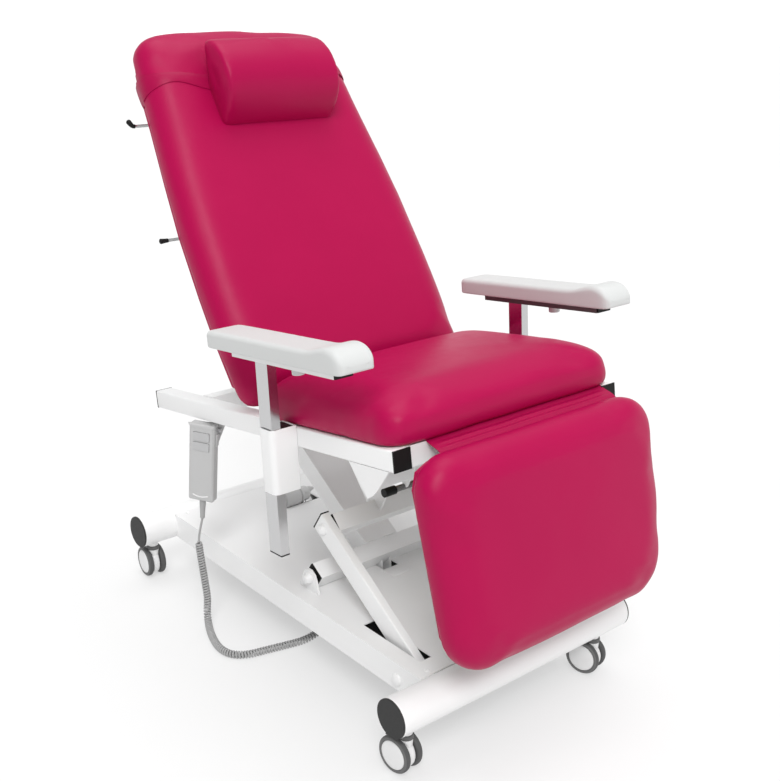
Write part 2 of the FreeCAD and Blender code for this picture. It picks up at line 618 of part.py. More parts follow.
BACK_SIDE = [(144.0, 297.0), (300.0, 301.0), (400.0, 300.0), (542.0, 295.0), (665.0, 284.0), (790.0, 271.0), (880.0, 263.6), (935.0, 257.0)]
BACK_TOP = [(240.0, 964.0), (220.0, 977.0), (190.0, 990.0), (140.0, 997.0)]


def half_back(s, inset=0.0):
    for (s0, w0), (s1, w1) in zip(BACK_SIDE, BACK_SIDE[1:]):
        if s <= s1:
            break
    return w0 + (w1 - w0) * (s - s0) / (s1 - s0) - inset


def back_outline(s0, inset, cb):
    """Half outline up the side and over the slightly arched top, then mirrored."""
    right = [(half_back(s0, inset) - cb, s0), (half_back(s0, inset), s0 + cb)]
    right += [(w - inset, s) for s, w in BACK_SIDE[1:-1]] + [(BACK_SIDE[-1][1] - inset, BACK_SIDE[-1][0] - 0.5 * inset)]
    right += [(x - 0.8 * inset, s - inset) for x, s in BACK_TOP]
    return right + [(0.0, 1003.0 - inset)] + [(-x, s) for x, s in reversed(right)]


def back_at(n):
    q = B(0, 0, n)
    return at(q, BACK_ROT)


pad = plate(back_outline(144.0, 0.0, 30.0), "back_t", back_at(-D["back_t"]))
doc.recompute()
front_n = B(0, 0, 0)
normal = BACK_ROT.multVec(V(0, 0, 1))
pad = fillet(pad, 22.0, lambda e: all(abs((v.Point - front_n).dot(normal)) < 0.05 for v in e.Vertexes))
node("back_cushion", pad)
node("back_board", plate(back_outline(170.0, 10.0, 28.0), "board_t", back_at(-D["back_t"] - D["board_t"])))

bars = []
fn = -D["back_t"] - D["board_t"] - D["frame_tube"] / 2
for s in SIDES:
    bars.append(box("frame_tube", 722.0, "frame_tube", at(B(s * 163.0, 178.0, fn), BACK_ROT), (0.5, 0.0, 0.5)))
for sb in (330.0, 820.0):
    bars.append(box(301.0, "frame_tube", "frame_tube", at(B(0, sb, fn), BACK_ROT)))
for s in SIDES:
    piv = [(back_piv[0] + 10.0 * math.cos(t), back_piv[1] + 10.0 * math.sin(t)) for t in [math.radians(q) for q in range(0, 360, 30)]]
    bars.append(plate(piv, 14.8, side_at(155.6 if s > 0 else -170.4)))
    bars.append(box(14.8, 40.0, 14.0, at(B(s * 163.0, 152.0, -91.0), BACK_ROT), (0.5, 0.0, 0.5)))
# lever of the back motor
LEVER = 72.0
up_ang = math.radians(90.0 - TILT)
dirn = math.radians(-90.0 - TILT + 15.0)
ltip = (back_piv[0] + LEVER * math.cos(dirn), back_piv[1] + LEVER * math.sin(dirn))
frame_solid = fuse(*bars)
frame_solid = cut(frame_solid, *[cyl(6.0, 60.0, at(P(s * 163.0, *back_piv)), "x") for s in SIDES])
tie = box(304.0, "frame_tube", "frame_tube", at(B(0, 196.0, fn), BACK_ROT))
levers = []
for s in SIDES:
    q = B(0, 196.0, fn)
    root = (q.y + D["frame_shift"], q.z)
    pts = [(root[0] - 6.0, root[1] + 6.0), (back_piv[0] - 12.0, back_piv[1] - 2.0), (ltip[0] - 11.0, ltip[1]), (ltip[0] - 7.0, ltip[1] - 9.0), (ltip[0] + 3.0, ltip[1] - 11.0),
           (ltip[0] + 11.0, ltip[1] - 2.0), (back_piv[0] + 13.0, back_piv[1]), (root[0] + 8.0, root[1] - 4.0)]
    levers.append(plate(pts, 5.0, side_at(9.5 if s > 0 else -14.5), [(ltip[0], ltip[1], 6.0)]))
pins = [cyl(6.0, 27.0, at(P(s * 163.0, *back_piv)), "x") for s in SIDES]
pins.append(cyl(6.0, 31.0, at(P(0, *ltip)), "x"))
node("back_frame", fuse(frame_solid, tie, *levers, *pins))

# back motor: tube on the seat frame, parallel to the rails
la = (ltip[0] - RAIL_Y) * CT - (ltip[1] - RAIL_Z) * ST
lb = (ltip[0] - RAIL_Y) * ST + (ltip[1] - RAIL_Z) * CT
tube = cyl("act_rad", 320.0, at(S(0, 110.0, lb), SEAT_ROT), "y", 0.0)
motor = fillet(box(60.0, 105.0, 66.0, at(S(0, 185.0, lb - 30.0), SEAT_ROT)), 14.0, lambda e: True)
hang_eye = fuse(box(16.0, 34.0, 30.0, at(S(-14.0, 242.0, lb + 13.0), SEAT_ROT)), box(16.0, 34.0, 30.0, at(S(14.0, 242.0, lb + 13.0), SEAT_ROT)))
hang_eye = cut(hang_eye, box(80.0, 80.0, 80.0, at(S(0, 242.0, -40.02), SEAT_ROT), (0.5, 0.5, 0.0)))
bore = cyl("act_bore", 300.0, at(S(0, 205.0, lb), SEAT_ROT), "y", 0.0)
node("back_actuator_body", cut(fuse(tube, motor, hang_eye), bore))
rod = cyl("act_rod", 240.0, at(S(0, la - 9.0, lb), SEAT_ROT), "y", 1.0)
eye = cyl(13.0, 17.0, at(P(0, *ltip)), "x")
node("back_actuator_rod", cut(fuse(rod, eye), cyl(6.06, 60.0, at(P(0, *ltip)), "x")))

# pillow with its strap
prof = [(1.0, 8.0), (28.0, 3.4), (90.0, 4.2), (122.0, 20.0), (171.0, 42.0), (194.0, 54.0), (183.0, 74.0), (158.0, 92.0), (128.0, 102.0), (103.0, 104.0), (78.0, 103.0), (53.0, 97.0), (25.0, 68.0), (8.0, 30.0)]
roll = plate(prof, "pillow_w", at(B(8.0 - D["pillow_w"] / 2, 742.0, 0.0), Rotation(
    BACK_ROT.multVec(V(0, 1, 0)), BACK_ROT.multVec(V(0, 0, 1)), V(1, 0, 0), "ZXY")))
node("pillow", roll)
sw = half_back(838.0) + 1.2
ring = box(2 * sw + 4.0, "strap_h", 112.8, at(B(0, 852.0, 3.0), BACK_ROT), (0.5, 0.5, 1.0))
gap = box(2 * sw, 60.0, 108.8, at(B(0, 852.0, 1.0), BACK_ROT), (0.5, 0.5, 1.0))
node("pillow_strap", cut(ring, gap))

# cable hooks: bent rods across the back, rubber tips on their ends
hooks = []
HN = fn - D["frame_tube"] / 2 - D["hook_rad"]
for sh, reach, out, bend in ((824.0, 279.0, 0.45, 0.89), (551.0, 298.0, 1.0, 0.0)):
    hooks.append(cyl("hook_rad", 2 * reach, at(B(0, sh, HN)), "x"))
    for s in SIDES:
        q = Rotation(V(0, 0, 1), V(s * out, 0, 0) + BACK_ROT.multVec(V(0, bend, 0)))
        hooks.append(cyl("tip_rad", 18.0, at(B(s * (reach - 1.0), sh, HN), q), "z", 0.0))
hooks = [fuse(hooks[0], hooks[1], hooks[2]), fuse(hooks[3], hooks[4], hooks[5])]
node("cable_hooks", *hooks)

# ---------------------------------------------------------------- legrest


def half_leg(s):
    return 284.0 + (299.0 - 284.0) * s / 407.0


def leg_outline(s0, s1, inset, c):
    right = [(half_leg(s0) - inset - c, s0), (half_leg(s0) - inset - 0.29 * c, s0 + 0.29 * c), (half_leg(s0) - inset, s0 + c), (half_leg(s1) - inset, s1 - 0.7 * c), (half_leg(s1) - inset - 0.2 * c, s1 - 0.2 * c), (half_leg(s1) - inset - 0.7 * c, s1)]
    return right + [(-x, s) for x, s in reversed(right)]


def leg_at(n):
    return at(L(0, 0, n), LEG_ROT)


pad = plate(leg_outline(0.0, 407.0, 0.0, 70.0), "leg_t", leg_at(-D["leg_t"]))
doc.recompute()
leg_o = L(0, 0, 0)
leg_n = LEG_ROT.multVec(V(0, 0, 1))
pad = fillet(pad, 20.0, lambda e: all(abs((v.Point - leg_o).dot(leg_n)) < 0.05 for v in e.Vertexes))
node("legrest_cushion", pad)
deck = plate(leg_outline(14.0, 392.0, 16.0, 60.0), "leg_frame_t", leg_at(-D["leg_t"] - D["leg_frame_t"]))
lugs = []
for s in SIDES:
    rim = [(LEG_PIV[0] + 9.5 * math.cos(t), LEG_PIV[1] + 9.5 * math.sin(t)) for t in [math.radians(q) for q in range(0, 360, 30)]]
    lugs.append(plate(rim, 14.8, side_at(125.6 if s > 0 else -140.4)))
    web = [L(0, 372.0, -D["leg_t"] - 6.0), L(0, 340.0, -D["leg_t"] - 6.0)]
    pts = [(LEG_PIV[0] - 5.0, LEG_PIV[1] - 7.0), (LEG_PIV[0] + 3.0, LEG_PIV[1] - 8.5), (web[1].y + D["frame_shift"] + 5.0, web[1].z), (web[1].y + D["frame_shift"], web[1].z), (web[0].y + D["frame_shift"] - 1.0, web[0].z)]
    lugs.append(plate(pts, 14.8, side_at(125.6 if s > 0 else -140.4)))
# lever of the gas spring
pa = (LEG_PIV[0] - RAIL_Y) * CT - (LEG_PIV[1] - RAIL_Z) * ST
pb = (LEG_PIV[0] - RAIL_Y) * ST + (LEG_PIV[1] - RAIL_Z) * CT
GA, GB = pa + 50.0 * math.sin(math.radians(32.5)), pb - 50.0 * math.cos(math.radians(32.5))
gtip = seat_yz(GA, GB)
GX = 90.0
lev = []
low = L(0, 300.0, -D["leg_t"] - 6.0)
for x0 in (GX - 12.0, GX + 7.0):
    pts = [(LEG_PIV[0] - 6.0, LEG_PIV[1] - 6.0), (LEG_PIV[0] + 6.0, LEG_PIV[1] - 7.0), (gtip[0] + 8.0, gtip[1] + 3.0), (gtip[0] + 4.0, gtip[1] - 7.0), (gtip[0] - 5.0, gtip[1] - 6.0),
           (low.y + D["frame_shift"] + 4.0, low.z), (low.y + D["frame_shift"] + 3.0, low.z + 30.0)]
    lev.append(plate(pts, 5.0, side_at(x0), [(gtip[0], gtip[1], 4.0)]))
spindles = [cyl(6.0, 27.0, at(P(s * 133.0, *LEG_PIV)), "x") for s in SIDES]
legs = fuse(deck, *lugs, *lev)
legs = cut(legs, *[cyl(6.0, 60.0, at(P(s * 133.0, *LEG_PIV)), "x") for s in SIDES])
node("legrest_frame", fuse(legs, *spindles, cyl(4.0, 26.0, at(P(GX, *gtip)), "x")))

tube = cut(cyl("spring_rad", 240.0, at(S(GX, 46.0, GB), SEAT_ROT), "y", 0.0), cyl("spring_bore", 225.0, at(S(GX, 40.0, GB), SEAT_ROT), "y", 0.0))
eye = cut(box(14.0, 30.0, 52.0, at(S(GX, 292.0 - 50.0, GB + 10.0), SEAT_ROT), (0.5, 0.5, 0.0)), box(60.0, 80.0, 80.0, at(S(GX, 242.0, -40.02), SEAT_ROT), (0.5, 0.5, 0.0)), cyl("spring_bore", 225.0, at(S(GX, 40.0, GB), SEAT_ROT), "y", 0.0))
node("gas_spring_body", fuse(tube, eye))
rod = cyl("spring_rod", 130.0, at(S(GX, GA + 6.0, GB), SEAT_ROT), "y", 0.0)
eye = cyl(9.0, 12.0, at(P(GX, *gtip)), "x")
node("gas_spring_rod", cut(fuse(rod, eye), cyl(4.06, 60.0, at(P(GX, *gtip)), "x")))

# release bar across under the seat front
BAR = (128.0, 512.0)
grip = cyl("bar_rad", "bar_len", at(P(0, *BAR)), "x")
swing = []
for s in SIDES:
    x0 = 192.0 if s > 0 else -198.0
    pts = [(BAR[0] - 6.0, BAR[1]), (BAR[0] + 6.0, BAR[1]), (BAR_PIV[0] + 7.0, BAR_PIV[1] + 3.0), (BAR_PIV[0], BAR_PIV[1] + 8.0), (BAR_PIV[0] - 7.0, BAR_PIV[1] + 3.0)]
    swing.append(plate(pts, 6.0, side_at(x0)))
    swing.append(cyl(5.0, 14.0, at(P(s * 190.0, *BAR_PIV)), "x"))
tips = [cyl(8.5, 26.0, at(P(s * (D["bar_len"] / 2 + 13.0), *BAR)), "x") for s in SIDES]
node("release_bar", fuse(grip, *swing), *tips)

# ---------------------------------------------------------------- armrests
PAD_TILT = 6.5
PAD_ROT = rx(-PAD_TILT)
PT = math.radians(PAD_TILT)


def Q(x, d, h):
    """Armrest top: d forward of the post axis along the plate, h above the plate's upper face."""
    y0, z0 = 366.6, 745.0
    return P(x, y0 - d * math.cos(PT) + h * math.sin(PT), z0 + d * math.sin(PT) + h * math.cos(PT))


for s, side in ((-1, "right"), (1, "left")):
    x = s * D["post_mid"]
    low = -193.0
    tube = cut(box("post_x", "post_y", "post_len", at(A(x, 0, low), LEAN_ROT), (0.5, 0.5, 0.0)),
               box(17.0, 37.0, 500.0, at(A(x, 0, 0), LEAN_ROT)))
    foot = box("post_x", "post_y", 3.0, at(A(x, 0, low), LEAN_ROT), (0.5, 0.5, 1.0))
    head = cut(box(16.6, 36.6, 30.0, at(A(x, 0, low + D["post_len"]), LEAN_ROT), (0.5, 0.5, 1.0)),
               cyl(6.06, 80.0, at(A(x, 0, low + D["post_len"]), LEAN_ROT)))
    node("armrest_post_" + side, tube, foot, head)
    bar = box("plate_w", "plate_len", "plate_t", at(Q(x, 0, 0), PAD_ROT), (0.5, (D["plate_len"] - 88.0) / D["plate_len"], 1.0))
    spindle = cyl(6.0, 34.0, at(A(x, 0, low + D["post_len"] + 5.0), LEAN_ROT), "z", 1.0)
    spindle = fuse(spindle, cyl(13.0, 8.0, at(A(x, 0, low + D["post_len"] + 0.5), LEAN_ROT), "z", 0.0))
    lift_off = box(100.0, 400.0, 40.0, at(Q(x, 0, -0.5), PAD_ROT), (0.5, 0.5, 0.0))
    arm_bar = cut(fuse(bar, cut(spindle, lift_off)), cyl(5.05, 40.0, at(Q(x, 107.0, -D["plate_t"]), PAD_ROT)))
    end = box(38.0, 4.0, 13.0, at(Q(x, D["plate_len"] - 88.0, -7.0), PAD_ROT), (0.5, 1.0, 0.5))
    node("armrest_plate_" + side, arm_bar, end)
    pts = [(-145.0, 0.2), (284.0, 0.2), (290.0, 10.0), (287.0, 24.0), (276.0, 38.0), (258.0, 46.5), (240.0, 46.0), (220.0, 39.0), (196.0, 34.5), (-140.0, 31.0), (-145.0, 26.0)]
    pad = plate(pts, "pad_w", at(Q(x - D["pad_w"] / 2, 0, 0), Rotation(
        PAD_ROT.multVec(V(0, -1, 0)), PAD_ROT.multVec(V(0, 0, 1)), V(-1, 0, 0), "ZXY").multiply(Rotation(V(0, 1, 0), 0))))
    pad.Placement = Placement(Q(x + D["pad_w"] / 2, 0, 0), pad.Placement.Rotation)
    node("armrest_pad_" + side, pad)
    grip = cyl("knob_rad", "knob_h", at(Q(x, 107.0, -D["plate_t"] - 0.4), PAD_ROT), "z", 1.0)
    grip = fillet(grip, 2.5, lambda e: e.Length > 60.0)
    stud = cyl(5.0, 9.0, at(Q(x, 107.0, -D["plate_t"] - 1.0), PAD_ROT), "z", 0.0)
    node("armrest_knob_" + side, fuse(grip, stud))

# ---------------------------------------------------------------- casters
TRAIL = 14.0
for label, cx, cy, turn in CASTERS:
    base = at(P(cx, cy, 0), Rotation(V(0, 0, 1), turn))
    ax = base.multiply(at(V(0, TRAIL, D["wheel_rad"])))
    hood = cyl(33.0, 18.0, ax, "x")
    neck = box(18.0, 30.0, 40.0, base.multiply(at(V(0, 3.0, 77.5))), (0.5, 0.5, 1.0))
    collar = cyl("collar_rad", 7.0, base.multiply(at(V(0, 0, 77.0))), "z", 0.0)
    # saddle cut so that the collar clears the tube above it
    stem = cyl("stem_rad", 50.0, base.multiply(at(V(0, 0, 75.0))), "z", 0.0)
    body = fuse(hood, neck, collar, stem, cyl(9.0, 7.5, base.multiply(at(V(0, 0, 84.0))), "z", 0.0))
    body = cut(body, cyl("axle_hole", 40.0, ax, "x"))
    braked = label.endswith("right")
    if braked:
        body = cut(body, box(30.0, 28.0, 22.0, base.multiply(at(V(0, 36.0, 65.0)))))
        ears = [box(2.5, 8.0, 17.0, base.multiply(at(V(s * 7.3, 24.5, 58.0)))) for s in SIDES]
        body = cut(fuse(body, *ears), cyl(1.55, 40.0, base.multiply(at(V(0, 24.5, 62.0))), "x"))
    node("caster_housing_" + label, body)
    wheels = []
    for s in SIDES:
        w = ax.multiply(at(V(s * (9.8 + D["wheel_w"] / 2), 0, 0)))
        disc = cyl("hub_rad", "wheel_w", w, "x")
        tyre = cut(cyl("wheel_rad", "wheel_w", w, "x"), cyl("hub_rad", 40.0, w, "x"))
        tyre = fillet(tyre, 4.0, lambda e: e.Length > 220.0)
        wheels += [disc, tyre]
    shaft = cyl("axle_rad", 19.6, ax, "x")
    node("caster_wheels_" + label, *wheels, shaft)
    if braked:
        pedal = plate([(22.6, 60.0), (47.0, 59.0), (50.0, 60.2), (47.0, 63.0), (26.0, 64.6), (22.6, 64.0)], 11.0,
                      base.multiply(Placement(V(-5.5, 0, 0), SIDE_ROT)))
        node("caster_brake_" + label, fuse(pedal, cyl(1.5, 17.0, base.multiply(at(V(0, 24.5, 62.0))), "x")))

# ---------------------------------------------------------------- curly cord


def arc_path(points):
    """Straight runs joined by tangent arcs, each as large as its two runs allow."""
    edges, radii = [], []
    start = points[0]
    for i in range(1, len(points) - 1):
        p0, p1, p2 = points[i - 1], points[i], points[i + 1]
        u, w = (p1 - p0), (p2 - p1)
        lu, lw = u.Length, w.Length
        u, w = u * (1 / lu), w * (1 / lw)
        turn_ang = math.acos(max(-1.0, min(1.0, u.dot(w))))
        t = 0.45 * min(lu, lw)
        radii.append((round(t / math.tan(turn_ang / 2), 1), round(math.degrees(turn_ang), 1)))
        a, b = p1 - u * t, p1 + w * t
        bis = (w - u)
        bis.normalize()
        r = t / math.tan(turn_ang / 2)
        centre = p1 + bis * math.hypot(r, t)
        m = centre - bis * r
        edges.append(Part.LineSegment(start, a).toShape())
        edges.append(Part.Arc(a, m, b).toShape())
        start = b
    edges.append(Part.LineSegment(start, points[-1]).toShape())
    return Part.Wire(edges), radii


CORD_UP = [(-306.4, 702.6, 267.2), (-313.0, 707.3, 235.0), (-315.6, 710.9, 206.0), (-313.8, 709.2, 173.0), (-311.9, 703.8, 131.5), (-310.3, 699.1, 92.0)]
CORD_LOW = [(-310.287, 699.062, 91.68), (-309.247, 696.006, 66.0), (-313.4, 694.4, 36.0), (-319.6, 682.0, 16.0), (-331.0, 656.0, 9.0), (-345.6, 616.0, 8.8), (-354.6, 574.0, 8.8), (-348.6, 537.0, 8.8),
            (-320.6, 513.4, 8.8), (-276.0, 503.4, 8.8), (-226.0, 490.4, 8.8), (-190.0, 481.0, 10.0), (-158.0, 472.0, 22.0), (-132.0, 464.0, 50.0), (-116.0, 462.0, 92.0), (-112.4, 472.0, 122.0), (-112.0, 492.0, 136.6), (-112.0, 510.2, 138.0)]


def cord(label, route):
    pts = [P(*q) for q in route]
    wire, radii = arc_path(pts)
    d = wire.Edges[0].tangentAt(wire.Edges[0].FirstParameter)
    ring = Part.Wire([Part.Circle(pts[0], d, D["cord_rad"]).toShape()])
    shape = wire.makePipeShell([ring], True, True)
    o = doc.addObject("Part::Feature", fresh("cord"))
    o.Shape = shape
    print(label, "length", round(wire.Length, 1), "volume ratio", round(shape.Volume / (math.pi * D["cord_rad"] ** 2 * wire.Length), 4), "radius, turn", radii)
    return node(label, o)


cord("cord_upper", CORD_UP)
cord("cord_lower", CORD_LOW)

# ---------------------------------------------------------------- check and write
doc.recompute()
bad = [o.Name for o in doc.Objects if "Invalid" in o.State or "Error" in o.State]
if bad:
    raise RuntimeError("failed objects: %s" % bad)
os.makedirs("parts", exist_ok=True)
for o in nodes:
    if o.Shape.isNull() or not o.Shape.isValid() or not o.Shape.Solids:
        raise RuntimeError("bad shape: " + o.Label)
for f in os.listdir("parts"):
    if f.endswith(".step"):
        os.remove(os.path.join("parts", f))
total = FreeCAD.BoundBox()
for o in nodes:
    if not o.Label.startswith("cord_"):
        total.add(o.Shape.BoundBox)
    o.Shape.exportStep(os.path.join("parts", o.Label + ".step"))
print(len(nodes), "nodes; box", [round(v, 3) for v in (total.XMin, total.XMax, total.YMin, total.YMax, total.ZMin, total.ZMax)])
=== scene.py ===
import bpy
import bmesh
import json
import math
import numpy as np
from mathutils import Matrix, Vector, noise
from mathutils.bvhtree import BVHTree

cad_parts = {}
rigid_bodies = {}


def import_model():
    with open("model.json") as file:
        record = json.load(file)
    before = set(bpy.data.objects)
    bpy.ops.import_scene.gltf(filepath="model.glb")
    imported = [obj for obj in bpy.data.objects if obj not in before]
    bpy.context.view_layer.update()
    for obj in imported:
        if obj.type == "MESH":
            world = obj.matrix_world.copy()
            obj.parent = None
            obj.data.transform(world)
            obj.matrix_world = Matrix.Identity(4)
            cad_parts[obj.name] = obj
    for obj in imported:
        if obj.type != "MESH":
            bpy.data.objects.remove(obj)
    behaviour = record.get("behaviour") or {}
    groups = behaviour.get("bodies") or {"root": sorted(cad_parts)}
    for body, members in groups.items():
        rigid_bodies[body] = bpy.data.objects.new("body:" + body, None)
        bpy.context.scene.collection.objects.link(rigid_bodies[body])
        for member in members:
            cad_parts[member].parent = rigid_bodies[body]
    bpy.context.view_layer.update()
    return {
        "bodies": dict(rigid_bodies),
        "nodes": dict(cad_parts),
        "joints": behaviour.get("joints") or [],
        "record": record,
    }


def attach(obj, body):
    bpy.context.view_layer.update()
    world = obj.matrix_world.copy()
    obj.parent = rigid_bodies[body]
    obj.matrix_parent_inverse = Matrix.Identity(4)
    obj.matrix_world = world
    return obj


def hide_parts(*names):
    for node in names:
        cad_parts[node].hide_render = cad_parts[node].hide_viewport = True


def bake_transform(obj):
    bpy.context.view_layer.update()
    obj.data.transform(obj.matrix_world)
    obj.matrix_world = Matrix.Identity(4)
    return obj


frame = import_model()
NODES = frame["nodes"]
SIDES = (-1, 1)
FS = 450.7


# ------------------------------------------------------------------ frames (millimetres in, metres out)
def P(x, y, z):
    return Vector((x, y - FS, z)) * 0.001


TILT = math.radians(7.9)


def S(x, a, b):
    """Seat: a back along the rails, b above their top."""
    c, s = math.cos(TILT), math.sin(TILT)
    return P(x, 46.3 + a * c + b * s, 633.1 - a * s + b * c)


BACK_A = math.radians(34.15)


def B(x, s, n):
    """Backrest: s up along it, n out of its front."""
    return P(x, 399.5 + s * math.sin(BACK_A) - n * math.cos(BACK_A), 491.0 + s * math.cos(BACK_A) + n * math.sin(BACK_A))


LEG_A = math.radians(12.93)


def L(x, s, n):
    return P(x, -143.5 + s * math.sin(LEG_A) - n * math.cos(LEG_A), 245.4 + s * math.cos(LEG_A) + n * math.sin(LEG_A))


LEAN = math.radians(4.0)


def A(x, dy, dz):
    """Armrest post: dz up along it from the middle of its sleeve."""
    return P(x, 352.8 + dy * math.cos(LEAN) + dz * math.sin(LEAN), 531.0 - dy * math.sin(LEAN) + dz * math.cos(LEAN))


PAD_T = math.radians(6.5)


def Q(x, d, h):
    """Armrest top: d forward of the post, h above the plate."""
    return P(x, 366.6 - d * math.cos(PAD_T) + h * math.sin(PAD_T), 745.0 + d * math.sin(PAD_T) + h * math.cos(PAD_T))


H_TURN = math.radians(-90.0 + 34.2)
H_SKEW = math.radians(4.4)


def H(u, d, z):
    """Handset: u across, d out of its front, z from its top."""
    c, s = math.cos(H_TURN), math.sin(H_TURN)
    u, z = u * math.cos(H_SKEW) + z * math.sin(H_SKEW), z * math.cos(H_SKEW) - u * math.sin(H_SKEW)
    return P(-296.4 + c * u + s * d, 687.9 + s * u - c * d, 498.6 + z)


P1 = (437.0, 191.3)
P2 = (95.0, 126.0)
KNEE = (392.0, 322.0)
PHI = math.atan2(196.0, 297.0)
ARM = math.hypot(297.0, 196.0)


def R(x, t, q, pivot=P2):
    """Lift arms: t along the arm from its lower pivot, q square to it."""
    return P(x, pivot[0] + t * math.cos(PHI) - q * math.sin(PHI), pivot[1] + t * math.sin(PHI) + q * math.cos(PHI))


# ------------------------------------------------------------------ materials
def shader(name, color, rough=0.5, metal=0.0, vary=0.06, vary_scale=6.0, grain=0.0, grain_scale=900.0, grain_kind="noise",
           rough_vary=0.08, coat=0.0, coat_rough=0.1, sheen=0.0, stretch=None, spec=None):
    m = bpy.data.materials.new(name)
    m.use_nodes = True
    nt = m.node_tree
    b = nt.nodes["Principled BSDF"]
    tc = nt.nodes.new("ShaderNodeTexCoord")
    co = tc.outputs["Object"]
    if stretch:
        mp = nt.nodes.new("ShaderNodeMapping")
        mp.inputs["Scale"].default_value = stretch
        nt.links.new(co, mp.inputs["Vector"])
        co = mp.outputs["Vector"]
    n1 = nt.nodes.new("ShaderNodeTexNoise")
    n1.inputs["Scale"].default_value = vary_scale
    n1.inputs["Detail"].default_value = 4.0
    nt.links.new(co, n1.inputs["Vector"])
    ramp = nt.nodes.new("ShaderNodeMix")
    ramp.data_type = "RGBA"
    lo = [max(0.0, c * (1 - vary)) for c in color] + [1.0]
    hi = [min(1.0, c * (1 + vary)) for c in color] + [1.0]
    ramp.inputs[6].default_value = lo
    ramp.inputs[7].default_value = hi
    nt.links.new(n1.outputs["Fac"], ramp.inputs[0])
    nt.links.new(ramp.outputs[2], b.inputs["Base Color"])
    n2 = nt.nodes.new("ShaderNodeTexNoise")
    n2.inputs["Scale"].default_value = vary_scale * 9
    n2.inputs["Detail"].default_value = 5.0
    nt.links.new(co, n2.inputs["Vector"])
    mr = nt.nodes.new("ShaderNodeMapRange")
    mr.inputs["To Min"].default_value = max(0.02, rough - rough_vary)
    mr.inputs["To Max"].default_value = min(1.0, rough + rough_vary)
    nt.links.new(n2.outputs["Fac"], mr.inputs["Value"])
    nt.links.new(mr.outputs["Result"], b.inputs["Roughness"])
    b.inputs["Metallic"].default_value = metal
    if coat:
        b.inputs["Coat Weight"].default_value = coat
        b.inputs["Coat Roughness"].default_value = coat_rough
    if sheen:
        b.inputs["Sheen Weight"].default_value = sheen
        b.inputs["Sheen Roughness"].default_value = 0.4
    if spec is not None:
        b.inputs["Specular IOR Level"].default_value = spec
    if grain:
        if grain_kind == "cells":
            g = nt.nodes.new("ShaderNodeTexVoronoi")
            g.feature = "DISTANCE_TO_EDGE"
            out = g.outputs["Distance"]
            g.inputs["Scale"].default_value = grain_scale
        elif grain_kind == "weave":
            g = nt.nodes.new("ShaderNodeTexWave")
            out = g.outputs["Fac"]
            g.inputs["Scale"].default_value = grain_scale
            g.inputs["Distortion"].default_value = 1.0
        else:
            g = nt.nodes.new("ShaderNodeTexNoise")
            out = g.outputs["Fac"]
            g.inputs["Scale"].default_value = grain_scale
            g.inputs["Detail"].default_value = 3.0
        nt.links.new(co, g.inputs["Vector"])
        bump = nt.nodes.new("ShaderNodeBump")
        bump.inputs["Strength"].default_value = grain
        bump.inputs["Distance"].default_value = 0.0006
        nt.links.new(out, bump.inputs["Height"])
        nt.links.new(bump.outputs["Normal"], b.inputs["Normal"])
    return m


